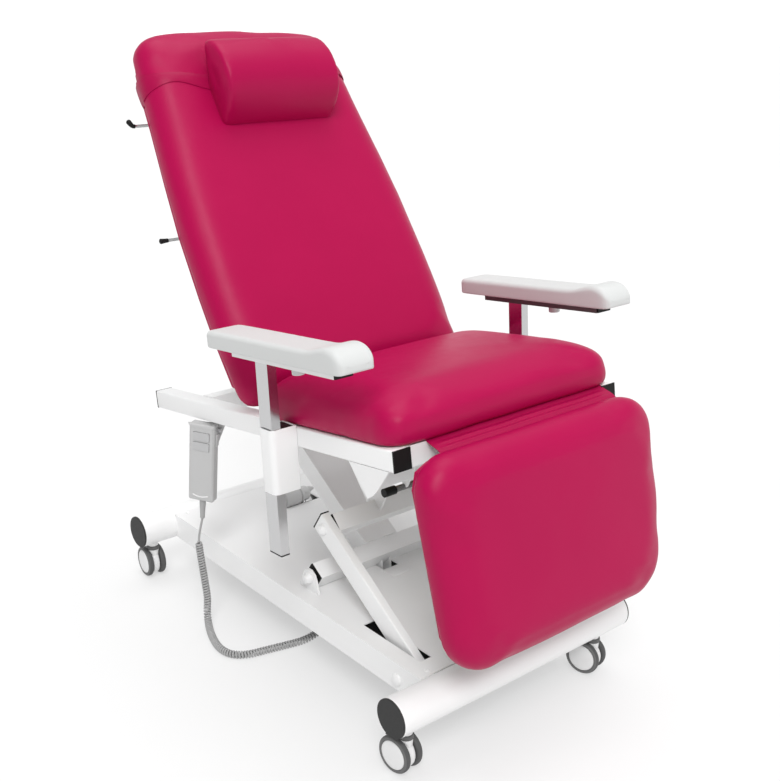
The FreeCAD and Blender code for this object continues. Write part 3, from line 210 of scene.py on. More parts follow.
M = {
    "paint": shader("white_powder_coat", (0.84, 0.84, 0.84), 0.38, vary=0.012, vary_scale=3.0, grain=0.06, grain_scale=1400.0, coat=0.12, coat_rough=0.25),
    "uphol": shader("magenta_artificial_leather", (0.385, 0.0016, 0.0630), 0.40, vary=0.05, vary_scale=5.0, grain=0.14, grain_scale=620.0, grain_kind="cells", rough_vary=0.05, spec=0.15),
    # a darker copy of the magenta upholstery: painted shade for the strap, the pillow seams and the seat-legrest strip
    "uphol_painted_shade": shader("magenta_leather_painted_shade", (0.350, 0.0016, 0.0570), 0.42, vary=0.06, vary_scale=18.0, grain=0.14, grain_scale=620.0, grain_kind="cells", rough_vary=0.06, spec=0.15),
    "plug": shader("black_plug_plastic", (0.007, 0.007, 0.007), 0.5, vary=0.15, vary_scale=30.0, grain=0.15, grain_scale=1100.0, spec=0.2),
    # cap: dark grey of the tube end caps and the motor notch; also the painted shade of the underside pan
    "cap": shader("dark_grey_caps_and_painted_shade", (0.030, 0.030, 0.030), 0.6, vary=0.08, vary_scale=25.0, grain=0.25, grain_scale=1300.0, spec=0.3),
    "pad": shader("light_grey_soft_pad", (0.60, 0.61, 0.606), 0.55, vary=0.02, vary_scale=8.0, grain=0.22, grain_scale=800.0, grain_kind="cells", spec=0.35),
    "chrome": shader("chromed_steel", (0.56, 0.56, 0.565), 0.17, metal=1.0, vary=0.02, vary_scale=12.0, rough_vary=0.05, grain=0.02, grain_scale=400.0, stretch=(6.0, 6.0, 1.0)),
    "steel": shader("bright_steel", (0.52, 0.52, 0.53), 0.32, metal=1.0, vary=0.05, vary_scale=20.0, rough_vary=0.08, grain=0.05, grain_scale=900.0),
    "plate": shader("satin_aluminium", (0.66, 0.66, 0.66), 0.38, metal=1.0, vary=0.04, vary_scale=20.0, rough_vary=0.08, grain=0.05, grain_scale=900.0, stretch=(1.0, 0.2, 1.0)),
    "rod": shader("dark_bright_rod", (0.20, 0.20, 0.20), 0.28, metal=1.0, vary=0.06, vary_scale=20.0, rough_vary=0.08, grain=0.05, grain_scale=900.0),
    "motor": shader("motor_grey_plastic", (0.58, 0.58, 0.58), 0.48, vary=0.04, vary_scale=14.0, grain=0.2, grain_scale=1000.0),
    "handset": shader("handset_grey_plastic", (0.48, 0.48, 0.48), 0.48, vary=0.025, vary_scale=20.0, grain=0.18, grain_scale=1500.0),
    "key": shader("key_grey_plastic", (0.46, 0.46, 0.465), 0.5, vary=0.05, vary_scale=40.0, grain=0.15, grain_scale=1600.0),
    "key_light": shader("lip_pale_plastic", (0.70, 0.70, 0.70), 0.45, vary=0.03, vary_scale=40.0, grain=0.1, grain_scale=1600.0),
    "hub": shader("hub_light_grey", (0.78, 0.78, 0.78), 0.4, vary=0.03, vary_scale=30.0, grain=0.1, grain_scale=1500.0),
    "tyre": shader("tyre_grey_rubber", (0.130, 0.130, 0.130), 0.6, vary=0.12, vary_scale=40.0, grain=0.3, grain_scale=1200.0),
    "tyre_dark": shader("tyre_dark_rubber", (0.075, 0.075, 0.075), 0.62, vary=0.12, vary_scale=40.0, grain=0.3, grain_scale=1200.0),
    # collar: dark grey of the caster collars and brakes; also painted shade on the armrest plates' inner faces
    "collar": shader("caster_collar_grey_and_plate_shade", (0.095, 0.095, 0.095), 0.5, vary=0.08, vary_scale=40.0, grain=0.2, grain_scale=1200.0),
    "caster": shader("caster_white_plastic", (0.76, 0.76, 0.76), 0.33, vary=0.02, vary_scale=30.0, grain=0.06, grain_scale=1500.0),
    "cord": shader("cord_grey_rubber", (0.36, 0.36, 0.36), 0.55, vary=0.06, vary_scale=60.0, grain=0.15, grain_scale=2000.0),
    "board": shader("birch_ply", (0.50, 0.36, 0.22), 0.65, vary=0.18, vary_scale=10.0, grain=0.3, grain_scale=300.0, stretch=(1.0, 6.0, 6.0)),
    "shell": shader("white_back_panel", (0.72, 0.72, 0.72), 0.5, vary=0.02, vary_scale=6.0, grain=0.2, grain_scale=1000.0, grain_kind="cells"),
}


def paint(o, *mats):
    o.data.materials.clear()
    for m in mats:
        o.data.materials.append(M[m] if isinstance(m, str) else m)
    return o


# ------------------------------------------------------------------ mesh helpers
def mesh_obj(name, verts, faces, mat=None, smooth=True, sharp=None):
    me = bpy.data.meshes.new(name)
    me.from_pydata([tuple(v) for v in verts], [], faces)
    bm = bmesh.new()
    bm.from_mesh(me)
    bmesh.ops.remove_doubles(bm, verts=bm.verts, dist=1e-6)
    bmesh.ops.recalc_face_normals(bm, faces=bm.faces)
    bm.to_mesh(me)
    bm.free()
    o = bpy.data.objects.new(name, me)
    bpy.context.scene.collection.objects.link(o)
    if smooth:
        me.shade_smooth()
        if sharp:
            me.set_sharp_from_angle(angle=math.radians(sharp))
    if mat:
        paint(o, mat)
    return o


def loft(name, rings, mat=None, caps=True, sharp=None, cyclic=True):
    n = len(rings[0])
    verts = [v for r in rings for v in r]
    faces = []
    for i in range(len(rings) - 1):
        for j in range(n if cyclic else n - 1):
            k = (j + 1) % n
            faces.append((i * n + j, i * n + k, (i + 1) * n + k, (i + 1) * n + j))
    if caps:
        faces.append(tuple(range(n - 1, -1, -1)))
        faces.append(tuple(range((len(rings) - 1) * n, len(rings) * n)))
    return mesh_obj(name, verts, faces, mat, True, sharp)


def join(name, objs):
    """Joins meshes into one object, keeping their materials."""
    bm = bmesh.new()
    mats = []
    for o in objs:
        start = len(bm.faces)
        me = o.data.copy()
        me.transform(o.matrix_world)
        bm.from_mesh(me)
        bm.faces.ensure_lookup_table()
        for f in bm.faces[start:]:
            m = o.data.materials[f.material_index] if o.data.materials else None
            if m not in mats:
                mats.append(m)
            f.material_index = mats.index(m)
        bpy.data.meshes.remove(me)
    me = bpy.data.meshes.new(name)
    bm.to_mesh(me)
    bm.free()
    for m in mats:
        me.materials.append(m)
    for o in objs:
        old = o.data
        bpy.data.objects.remove(o)
        if old.users == 0:
            bpy.data.meshes.remove(old)
    out = bpy.data.objects.new(name, me)
    bpy.context.scene.collection.objects.link(out)
    return out


def axes_from(direction, hint=Vector((0, 0, 1))):
    w = Vector(direction).normalized()
    if abs(w.dot(hint)) > 0.98:
        hint = Vector((0, 1, 0))
    u = hint.cross(w).normalized()
    return u, w.cross(u).normalized(), w


def lathe(name, prof, origin, axis, mat=None, seg=48, sharp=35):
    """Turned piece: prof is (radius, height) in mm along axis from origin."""
    u, v, w = axes_from(axis)
    rings = []
    for r, h in prof:
        r = max(r, 0.02)
        rings.append([origin + (u * math.cos(t) + v * math.sin(t)) * r * 0.001 + w * h * 0.001 for t in (2 * math.pi * i / seg for i in range(seg))])
    return loft(name, rings, mat, True, sharp)


def round_rect(w, h, r, n=5):
    pts = []
    for cx, cy, a0 in ((w / 2 - r, h / 2 - r, 0), (-w / 2 + r, h / 2 - r, 90), (-w / 2 + r, -h / 2 + r, 180), (w / 2 - r, -h / 2 + r, 270)):
        for i in range(n + 1):
            a = math.radians(a0 + 90 * i / n)
            pts.append((cx + r * math.cos(a), cy + r * math.sin(a)))
    return pts


def bar(name, p0, p1, side, w, h, r, mat="paint", ease=0.6):
    """Rounded rectangular section from p0 to p1; side is the direction of its width w. Sizes in mm."""
    d = (p1 - p0)
    z = d.normalized()
    x = (Vector(side) - z * Vector(side).dot(z)).normalized()
    y = z.cross(x)
    rings = []
    e = ease * 0.001
    for pos, inset in ((p0, ease), (p0 + z * e * 0.3, ease * 0.3), (p0 + z * e, 0.0), (p1 - z * e, 0.0), (p1 - z * e * 0.3, ease * 0.3), (p1, ease)):
        rings.append([pos + x * px * 0.001 + y * py * 0.001 for px, py in round_rect(w - 2 * inset, h - 2 * inset, max(0.4, r - inset))])
    return loft(name, rings, mat, True, 40)


def plate(name, pts, thick, to_world, mat="paint", bevel=0.6):
    """Flat plate with eased edges. pts in mm; to_world(u, v, w) places them, w from 0 to thick."""
    n = len(pts)
    c = Vector((sum(p[0] for p in pts) / n, sum(p[1] for p in pts) / n))

    def ring(w, inset):
        out = []
        for u, v in pts:
            d = (c - Vector((u, v)))
            d = d.normalized() * inset if d.length > 1e-9 else d
            out.append(to_world(u + d.x, v + d.y, w))
        return out

    return loft(name, [ring(0, bevel), ring(bevel, 0), ring(thick - bevel, 0), ring(thick, bevel)], mat, True, 30)


def ride(o, body, slot=None, *nodes):
    if nodes:
        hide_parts(*nodes)
    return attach(o, body)


def tube(name, pts, r, mat, seg=12, caps=True):
    """Round tube along a list of points (metres), radius in mm or one per point."""
    rings = []
    u = None
    for i, p in enumerate(pts):
        d = (pts[min(i + 1, len(pts) - 1)] - pts[max(i - 1, 0)]).normalized()
        if u is None:
            u, v, _ = axes_from(d)
        u = (u - d * u.dot(d)).normalized()
        v = d.cross(u)
        q = (r[i] if isinstance(r, (list, tuple)) else r) * 0.001
        rings.append([p + (u * math.cos(t) + v * math.sin(t)) * q for t in (2 * math.pi * k / seg for k in range(seg))])
    return loft(name, rings, mat, caps, 50)


def soften(node, mat, width=0.8, angle=30, segments=2):
    """Keeps a CAD node, with eased edges and a finished surface."""
    o = NODES[node]
    paint(o, mat)
    o.data.shade_smooth()
    o.data.set_sharp_from_angle(angle=math.radians(28))
    if width:
        m = o.modifiers.new("ease", "BEVEL")
        m.width = width * 0.001
        m.segments = segments
        m.limit_method = "ANGLE"
        m.angle_limit = math.radians(angle)
        m.harden_normals = True
    return o


# ------------------------------------------------------------------ camera, light, floor
cam_data = bpy.data.cameras.new("camera")
cam_data.sensor_fit = "VERTICAL"
cam_data.sensor_height = 36.0
cam_data.lens = 1124.1 / 781.0 * 36.0
cam_data.clip_end = 200.0
cam = bpy.data.objects.new("camera", cam_data)
bpy.context.scene.collection.objects.link(cam)
cam.location = P(-1445.7, -1344.3, 1374.9)
cam.rotation_euler = (math.radians(90.0 - 19.21), 0.0, -math.radians(39.52))
bpy.context.scene.camera = cam

# soft white studio: bright round the horizon, dimmer overhead
world = bpy.data.worlds.new("studio")
bpy.context.scene.world = world
world.use_nodes = True
wt = world.node_tree
wco = wt.nodes.new("ShaderNodeTexCoord")
wsep = wt.nodes.new("ShaderNodeSeparateXYZ")
wramp = wt.nodes.new("ShaderNodeValToRGB")
wt.links.new(wco.outputs["Generated"], wsep.inputs["Vector"])
wt.links.new(wsep.outputs["Z"], wramp.inputs["Fac"])
wramp.color_ramp.elements[0].position = 0.05
wramp.color_ramp.elements[0].color = (1.25, 1.25, 1.25, 1.0)
wramp.color_ramp.elements[1].position = 0.28
wramp.color_ramp.elements[1].color = (0.62, 0.62, 0.62, 1.0)
wside = wt.nodes.new("ShaderNodeMapRange")
wside.interpolation_type = "SMOOTHSTEP"
wside.inputs["From Min"].default_value = -0.9
wside.inputs["From Max"].default_value = 0.1
wside.inputs["To Min"].default_value = 0.52
wside.inputs["To Max"].default_value = 1.0
wmul = wt.nodes.new("ShaderNodeVectorMath")
wmul.operation = "SCALE"
wt.links.new(wsep.outputs["X"], wside.inputs["Value"])
wt.links.new(wramp.outputs["Color"], wmul.inputs[0])
wt.links.new(wside.outputs["Result"], wmul.inputs["Scale"])
wt.links.new(wmul.outputs["Vector"], wt.nodes["Background"].inputs["Color"])
wt.nodes["Background"].inputs["Strength"].default_value = 1.0


def sun(name, towards, power, angle):
    """Soft distant light; towards is the direction in which it stands."""
    d = bpy.data.lights.new(name, "SUN")
    d.energy = power
    d.angle = math.radians(angle)
    o = bpy.data.objects.new(name, d)
    bpy.context.scene.collection.objects.link(o)
    o.rotation_euler = Vector(towards).to_track_quat("Z", "Y").to_euler()
    return o


sun("key", (-0.42, -0.52, 0.74), 1.75, 24)
sun("top", (0.12, 0.05, 0.99), 1.45, 50)

floor = mesh_obj("floor", [(-40, -40, -0.0004), (40, -40, -0.0004), (40, 40, -0.0004), (-40, 40, -0.0004)], [(0, 1, 2, 3)], smooth=False)
fm = shader("floor_white", (0.36, 0.36, 0.36), 0.8, vary=0.004, vary_scale=0.8, spec=0.05)
fb = fm.node_tree.nodes["Principled BSDF"]
fb.inputs["Emission Color"].default_value = (1.0, 1.0, 1.0, 1.0)
fb.inputs["Emission Strength"].default_value = 0.52
paint(floor, fm)
bpy.context.scene.view_settings.view_transform = "Standard"
bpy.context.scene.view_settings.exposure = 0.0

# ------------------------------------------------------------------ curly cord
CORD_UP = [(-306.4, 702.6, 267.2), (-313.0, 707.3, 235.0), (-315.6, 710.9, 206.0), (-313.8, 709.2, 173.0), (-311.9, 703.8, 131.5), (-310.3, 699.1, 92.0)]
CORD_LOW = [(-309.247, 696.006, 66.0), (-313.4, 694.4, 36.0), (-319.6, 682.0, 16.0), (-331.0, 656.0, 9.0), (-345.6, 616.0, 8.8), (-354.6, 574.0, 8.8), (-348.6, 537.0, 8.8),
            (-320.6, 513.4, 8.8), (-276.0, 503.4, 8.8), (-226.0, 490.4, 8.8), (-190.0, 481.0, 10.0), (-158.0, 472.0, 22.0), (-132.0, 464.0, 50.0), (-116.0, 462.0, 92.0), (-112.4, 472.0, 122.0), (-112.0, 492.0, 136.6), (-112.0, 510.2, 138.0)]


def spline_points(route, step):
    """Points evenly along the smooth spline that has the route's points as its control points."""
    cu = bpy.data.curves.new("route", "CURVE")
    cu.dimensions = "3D"
    cu.resolution_u = 24
    sp = cu.splines.new("NURBS")
    sp.points.add(len(route) - 1)
    for q, p in zip(sp.points, route):
        q.co = (*P(*p), 1.0)
    sp.order_u = 3
    sp.use_endpoint_u = True
    o = bpy.data.objects.new("route", cu)
    bpy.context.scene.collection.objects.link(o)
    bpy.context.view_layer.update()
    me = bpy.data.meshes.new_from_object(o.evaluated_get(bpy.context.evaluated_depsgraph_get()))
    line = np.array([v.co for v in me.vertices], float)
    bpy.data.meshes.remove(me)
    bpy.data.objects.remove(o)
    bpy.data.curves.remove(cu)
    d = np.concatenate([[0.0], np.cumsum(np.linalg.norm(np.diff(line, axis=0), axis=1))])
    n = int(d[-1] / step)
    at = np.linspace(0.0, d[-1], n + 1)
    return np.stack([np.interp(at, d, line[:, i]) for i in range(3)], 1), at


def helix(route, lead, pitch, radius, per_turn, tail):
    """The cable's own line: straight for lead, then coiled round the route, straight again for the tail."""
    line, at = spline_points(route, pitch / per_turn)
    out = []
    phase = 0.0
    u = None
    for i, p in enumerate(line):
        d = Vector(line[min(i + 1, len(line) - 1)] - line[max(i - 1, 0)]).normalized()
        if u is None:
            u, _, _ = axes_from(d)
        u = (u - d * u.dot(d)).normalized()
        v = d.cross(u)
        s = at[i]
        k = min(1.0, max(0.0, (s - lead) / 0.006)) * min(1.0, max(0.0, (at[-1] - tail - s) / 0.006))
        if k > 0:
            phase += 2 * math.pi / per_turn
        out.append(Vector(p) + (u * math.cos(phase) + v * math.sin(phase)) * radius * k)
    return out, line


cable, spine = helix(CORD_UP + CORD_LOW, 0.060, 0.0064, 0.0064, 14, 0.02)
split = int(np.argmin(np.abs(spine[:, 2] - 0.092)[: len(spine) // 2]))
CABLE_D = 0.0050
for name, pts, node, bodies, span, ex in (
        ("curly_cord_upper", cable[: split + 1], "cord_upper", ("rear_arm", "seat"), (P(-310, 699, 100), P(-307, 702, 258)), P(*CORD_UP[0])),
        ("curly_cord_lower", cable[split:], "cord_lower", ("base", "rear_arm"), (P(-310, 648.4, 0), P(-310, 708.4, 30)), P(*CORD_LOW[-1]))):
    o = tube(name, pts, CABLE_D * 500, "cord", 8)
    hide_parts(node)
    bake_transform(o)


# ------------------------------------------------------------------ painted frame
def by_face(node, pick):
    """Gives each face of a kept CAD node the material whose index pick(centre) names."""
    o = NODES[node]
    for f in o.data.polygons:
        f.material_index = pick(f.center)
    return o


for n_, w_ in (("base_cross_tubes", 0.6), ("base_tray", 0.7), ("base_side_members", 1.2), ("lift_brackets", 0.9), ("lift_pivot_pins", 0.9), ("carriage_hangers", 0.8),
               ("back_frame", 1.2), ("legrest_frame", 0.9), ("rear_lift_arm", 1.1), ("lower_cross_tube", 1.1), ("carriage_tube", 1.1),
               ("seat_cross_members", 1.0)):
    soften(n_, "paint", w_)
soften("tube_end_caps", "cap", 0.0)
soften("control_box", "motor", 0.0)
soften("front_arm_plugs", "plug", 0.6)
soften("lower_tube_plugs", "plug", 0.6)
soften("lift_actuator_rod", "steel", 0.3)
soften("seat_frame_plugs", "plug", 0.9)
soften("seat_board", "board", 0.8)
soften("handset_hook", "motor", 0.6)
soften("cord_strain_relief", "cord", 0.3)
soften("back_actuator_body", "motor", 0.6)
soften("gas_spring_body", "plug", 0.5)
soften("back_board", "shell", 1.0)


def wrapped(node, to_world, ends):
    """The cover is drawn round the board: its rim faces take the upholstery."""
    o = NODES[node]
    o.data.materials.append(M["uphol"])
    k = len(o.data.materials) - 1
    o0 = Vector(to_world(0, 0, 0))
    w = (Vector(to_world(0, 0, 10)) - o0).normalized()
    v = (Vector(to_world(0, 10, 0)) - o0).normalized()
    mw = o.matrix_world
    for f in o.data.polygons:
        c = mw @ f.center - o0
        n = mw.to_3x3() @ f.normal
        rim = abs(c.x) > 0.150 or not ends[0] < c.dot(v) < ends[1]
        if abs(n.dot(w)) < 0.5 and rim and c.dot(w) > -0.12:
            f.material_index = k


wrapped("back_board", B, (0.21, 0.86))
wrapped("legrest_frame", L, (0.03, 0.37))
soften("back_actuator_rod", "steel", 0.3)
soften("gas_spring_rod", "steel", 0.2)
o = soften("release_bar", "rod", 0.4)
o.data.materials.append(M["plug"])
o.data.materials.append(M["paint"])
by_face("release_bar", lambda c: 1 if abs(c.x) > 0.2197 else (2 if 0.1915 < abs(c.x) < 0.1985 else 0))

rails = []
for s in SIDES:
    rails.append(bar("rail", S(s * 274.6, 0.0, -20.0), S(s * 274.6, 867.0, -20.0), (1, 0, 0), 40.0, 40.0, 3.4, "paint"))
ride(join("seat_rails", rails), "seat", "white_paint", "seat_side_rails")

arms = []
for s in SIDES:
    arms.append(bar("arm", R(s * 186.0, -25.0, 0.0), R(s * 186.0, ARM + 22.0, 0.0), (1, 0, 0), 20.0, 50.0, 3.2, "paint"))
    for t in (0.0, ARM):
        for e in (-1, 1):
            arms.append(lathe("boss", [(8.4, 0.0), (13.0, 0.0), (13.0, 0.5), (12.4, 0.95), (8.4, 0.95)], R(s * 186.0 + e * 10.0, t, 0.0), (e, 0, 0), "paint"))
ride(join("lift_arms_front", arms), "front_arms", "white_paint", "front_lift_arms")



def wound(name, rings, mat, angle=50):
    """Skin over rings of equal length that close on themselves in both directions."""
    n, m = len(rings), len(rings[0])
    faces = [(i * m + k, i * m + (k + 1) % m, ((i + 1) % n) * m + (k + 1) % m, ((i + 1) % n) * m + k) for i in range(n) for k in range(m)]
    return mesh_obj(name, [v for r in rings for v in r], faces, mat, True, angle)


sleeves, inserts = [], []
for s in SIDES:
    def section(inset, dz, wide=60.0, deep=48.0, mid=324.6, r_out=12.5, r_in=3.0):
        w, d = wide / 2 - inset, deep / 2 - inset
        ring = []
        for sx, sy, r, a0 in ((1, 1, r_out, 0), (-1, 1, r_in, 90), (-1, -1, r_in, 180), (1, -1, r_out, 270)):
            r = max(r - inset, 0.6)
            for k in range(9):
                t = math.radians(a0 + 90 * k / 8)
                ring.append(A(s * (mid + sx * (w - r) + r * math.cos(t)), sy * (d - r) + r * math.sin(t), dz))
        return ring if s > 0 else ring[::-1]
    sleeves.append(wound("sleeve", [section(0.9, -65.5), section(0.25, -65.2), section(0.0, -64.5), section(0.0, 64.5), section(0.25, 65.2), section(0.9, 65.5),
                                    section(0.0, 65.5, 53.4, 42.6, 325.9, 9.9, 1.2), section(0.3, 64.6, 53.4, 42.6, 325.9, 9.9, 1.2), section(0.3, -64.6, 53.4, 42.6, 325.9, 9.9, 1.2), section(0.0, -65.5, 53.4, 42.6, 325.9, 9.9, 1.2)], "paint"))
    inserts.append(bar("lip", A(s * 314.6, 0, 58.0), A(s * 314.6, 0, 64.9), (1, 0, 0), 30.0, 41.6, 2.0, "plug", 0.8))
ride(join("armrest_sleeves_round", sleeves), "seat", "white_paint", "armrest_sleeves")
ride(join("sleeve_inserts", inserts), "seat", "plug_black")

# plates below the front cross member
aprons = []
for s in SIDES:
    aprons.append(bar("apron", S(s * 217.0, 70.0, -41.0), S(s * 217.0, 70.0, -87.0), (1, 0, 0), 134.0, 2.4, 0.9, "paint", 0.8))
ride(join("front_aprons", aprons), "seat", "white_paint")

# base: cover over the front of the lug slot, and a shallow dark grey pan that closes the underside: a dark sheet put
# there as painted shade, seen through the tray's openings
cover = bar("cover", P(0, 383.0, 162.3), P(0, 383.0, 163.7), (1, 0, 0), 56.0, 40.0, 3.0, "paint", 0.5)
ride(join("slot_cover", [cover]), "base", "white_paint")
outer_ring = []
for cx, cy, a0 in ((204.0 - 20, 944.0 - 20, 0), (-204.0 + 20, 944.0 - 20, 90), (-204.0 + 20, 42.0 + 20, 180), (204.0 - 20, 42.0 + 20, 270)):
    for k in range(9):
        t = math.radians(a0 + 90 * k / 8)
        outer_ring.append((cx + 20 * math.cos(t), cy + 20 * math.sin(t)))
hole_ring = []
for cx, cy, a0 in ((-92.0, 505.0, 0), (-150.0, 505.0, 90), (-150.0, 455.0, 180), (-92.0, 455.0, 270)):
    for k in range(9):
        t = math.radians(a0 + 90 * k / 8)
        hole_ring.append((cx + 18 * math.cos(t), cy + 18 * math.sin(t)))
# dark grey sheet below the tray: painted shade for the dark space under it
pan = wound("underside_shade_pan", [[P(x, y, 86.0) for x, y in outer_ring], [P(x, y, 87.6) for x, y in outer_ring], [P(x, y, 87.6) for x, y in hole_ring], [P(x, y, 86.0) for x, y in hole_ring]], "cap", 30)
ride(pan, "base", "cap_grey")

# lift actuator with its stepped motor housing
ACT_Z = P1[1] - 80.0 * math.sin(math.radians(97.0))
act = [lathe("outer", [(8.6, 36.0), (19.4, 34.0), (19.4, 0.4), (21.6, 0.0), (22.0, 0.8), (22.0, 344.0), (21.0, 345.0), (0, 345.0)], P(0, 535.0, ACT_Z), (0, 1, 0), "motor"),
       bar("gearbox", P(0, 842.0, ACT_Z - 20.0), P(0, 842.0, ACT_Z + 76.0), (1, 0, 0), 46.0, 60.0, 8.0, "motor", 3.0),
       bar("eye", P(0, 871.0, ACT_Z), P(0, 937.0, ACT_Z), (1, 0, 0), 40.0, 24.0, 5.0, "motor", 2.0),
       lathe("can", [(0, 0), (21.0, 0), (23.2, 0.8), (24.2, 3.0), (24.2, 40.0), (23.6, 41.6), (21.6, 42.4), (20.4, 43.2), (20.2, 46.4), (22.0, 47.0), (22.8, 48.0), (22.8, 52.6), (22.2, 53.8), (19.6, 54.6),
                     (18.8, 55.6), (18.8, 66.0), (18.2, 70.0), (16.6, 73.4), (14.2, 75.4), (0, 76.2)], P(-3.5, 830.0, 178.0), (1, 0, 0), "motor"),
       lathe("nose", [(7.8, 0), (7.8, 8.0), (7.2, 10.0), (5.8, 11.0), (4.8, 11.2), (4.4, 17.6), (3.6, 18.6), (0, 18.8)], P(69.0, 827.0, 186.5), (1, 0, 0), "motor", 28),
       bar("notch", P(73.4, 834.0, 178.0), P(73.4, 834.0, 168.0), (1, 0, 0), 3.0, 9.0, 0.8, "cap", 0.6)]
for k in range(3):
    t = math.radians(30 + 120 * k)
    c = Vector((0.0, math.cos(t), math.sin(t)))
    act.append(bar("rib", P(54.0, 830.0, 178.0) + c * 0.0186, P(65.0, 830.0, 178.0) + c * 0.0186, c.cross(Vector((1, 0, 0))), 5.0, 1.6, 0.5, "motor", 0.4))
ride(join("lift_motor", act), "base", "motor_grey", "lift_actuator_body")

# small screws: two under the front tube, four on the tray
screws = []
for x, y in ((-52.0, -10.0), (-18.0, -10.0)):
    screws.append(lathe("stud", [(3.2, -2.0), (3.2, 3.0), (2.6, 3.6), (0, 3.6)], P(x, y, 131.0 - math.sqrt(39.0 ** 2 - y * y)), (0, 0, -1), "steel", 20))
for x, y in ((-212.0, 40.0), (212.0, 40.0), (-212.0, 946.0), (212.0, 946.0)):
    screws.append(lathe("screw", [(5.2, 0.0), (5.0, 0.8), (4.0, 1.7), (2.6, 2.1), (2.2, 1.2), (0, 1.2)], P(x, y, 162.4), (0, 0, 1), "paint", 24))
ride(join("base_screws", screws), "base", "white_paint")

# cable hooks: bright rods with rubber bulbs
NB = (B(0, 0, 1) - B(0, 0, 0)) * 1000.0
UB = (B(0, 1, 0) - B(0, 0, 0)) * 1000.0
hooks = []
for sh, reach, bend in ((824.0, 279.0, 1.0), (551.0, 298.0, 0.0)):
    rod = [B(-reach - 1, sh + 0.3 * bend, -111.0)] + [B(x, sh, -111.0) for x in np.linspace(-reach + 7, reach - 7, 30)] + [B(reach + 1, sh + 0.3 * bend, -111.0)]
    hooks.append(tube("rod", rod, 3.6, "chrome", 20))
    for s in SIDES:
        path = [(-4, 0.0), (0, 0.7), (2.6, 2.8), (4.4, 6.0), (6.0, 9.6), (7.4, 12.6), (8.4, 14.8), (8.9, 15.9)] if bend else [(-3, 0), (2, 0), (6, 0), (10, 0), (12.5, 0), (14.6, 0), (16.0, 0), (16.6, 0)]
        hooks.append(tube("bulb", [B(s * (reach + a), sh + b, -111.0) for a, b in path], [4.4, 4.7, 5.0, 5.4, 5.8, 5.7, 4.2, 1.6], "plug", 20))
ride(join("cable_hooks_bent", hooks), "backrest", "steel", "cable_hooks")

# ------------------------------------------------------------------ armrests
for s, side in ((-1, "right"), (1, "left")):
    x0 = s * 340.0
    o = soften("armrest_post_" + side, "chrome", 0.9)
    o.data.materials.append(M["plug"])
    foot = (A(x0, 0, -192.9), (A(x0, 0, 1) - A(x0, 0, 0)).normalized())
    by_face("armrest_post_" + side, lambda c, f=foot: 1 if (c - f[0]).dot(f[1]) < -0.00005 else 0)
    o = soften("armrest_plate_" + side, "plate", 0.9)
    o.data.materials.append(M["plug"])
    tip = (Q(x0, 243.9, 0), (Q(x0, 1, 0) - Q(x0, 0, 0)).normalized())
    o.data.materials.append(M["collar"])
    by_face("armrest_plate_" + side, lambda c, f=tip: 1 if (c - f[0]).dot(f[1]) > 0 else 0)
    # faces of the plate turned towards the seat take the dark grey collar material: painted shade for the plate's
    # shaded inner side
    for f_ in o.data.polygons:
        if f_.material_index == 0 and f_.normal.x * x0 < -abs(x0) * 0.8:
            f_.material_index = 2
    soften("armrest_knob_" + side, "pad", 0.6)
    rings = []
    spec = [(-150.4, 7, 24, 27, 5), (-149.8, 4, 28, 32, 8), (-147.6, 1.6, 31.6, 36.6, 9), (-143.5, 0.5, 33.8, 39.6, 10), (-136, 0.2, 34.8, 41, 10.5), (-100, 0.2, 35.2, 41.3, 10.5), (0, 0.2, 35.2, 41.3, 10.5),
            (100, 0.2, 35.0, 41.3, 10.5), (170, 0.2, 35.0, 41.3, 10.5), (188, 0.2, 35.4, 41.3, 10.5), (200, 0.2, 36.6, 41.3, 10.5), (210, 0.2, 38.6, 41.3, 10.5), (220, 0.2, 41.2, 41.3, 11), (231, 0.2, 44.2, 41.3, 11.5),
            (242, 0.2, 46.2, 41.3, 12.5), (252, 0.2, 46.8, 41.3, 13.5), (262, 0.2, 45.4, 41.2, 14), (270.5, 0.3, 42.2, 40.9, 14), (278, 0.4, 37.4, 40.0, 14), (283.6, 0.7, 31.8, 38.0, 13), (288.0, 1.4, 25.4, 35.0, 10), (290.8, 3.2, 18.8, 31.0, 6), (291.9, 6.0, 14.0, 27.0, 3)]
    for d, h0, h1, hw, rt in spec:
        ring = []
        rb = min(3.5, (h1 - h0) * 0.3)
        rt = min(rt, (h1 - h0) * 0.62)
        for cx, cy, r, a0 in ((hw - rt, h1 - rt, rt, 0), (-hw + rt, h1 - rt, rt, 90), (-hw + rb, h0 + rb, rb, 180), (hw - rb, h0 + rb, rb, 270)):
            for k in range(9):
                t = math.radians(a0 + 90 * k / 8)
                ring.append(Q(x0 + cx + r * math.cos(t), d, cy + r * math.sin(t)))
        rings.append(ring)
    o = loft("armrest_pad_soft_" + side, rings, "pad", True)
    sub = o.modifiers.new("fine", "SUBSURF")
    sub.levels = sub.render_levels = 1
    ride(o, "arm_top_" + side, "pad_grey", "armrest_pad_" + side)

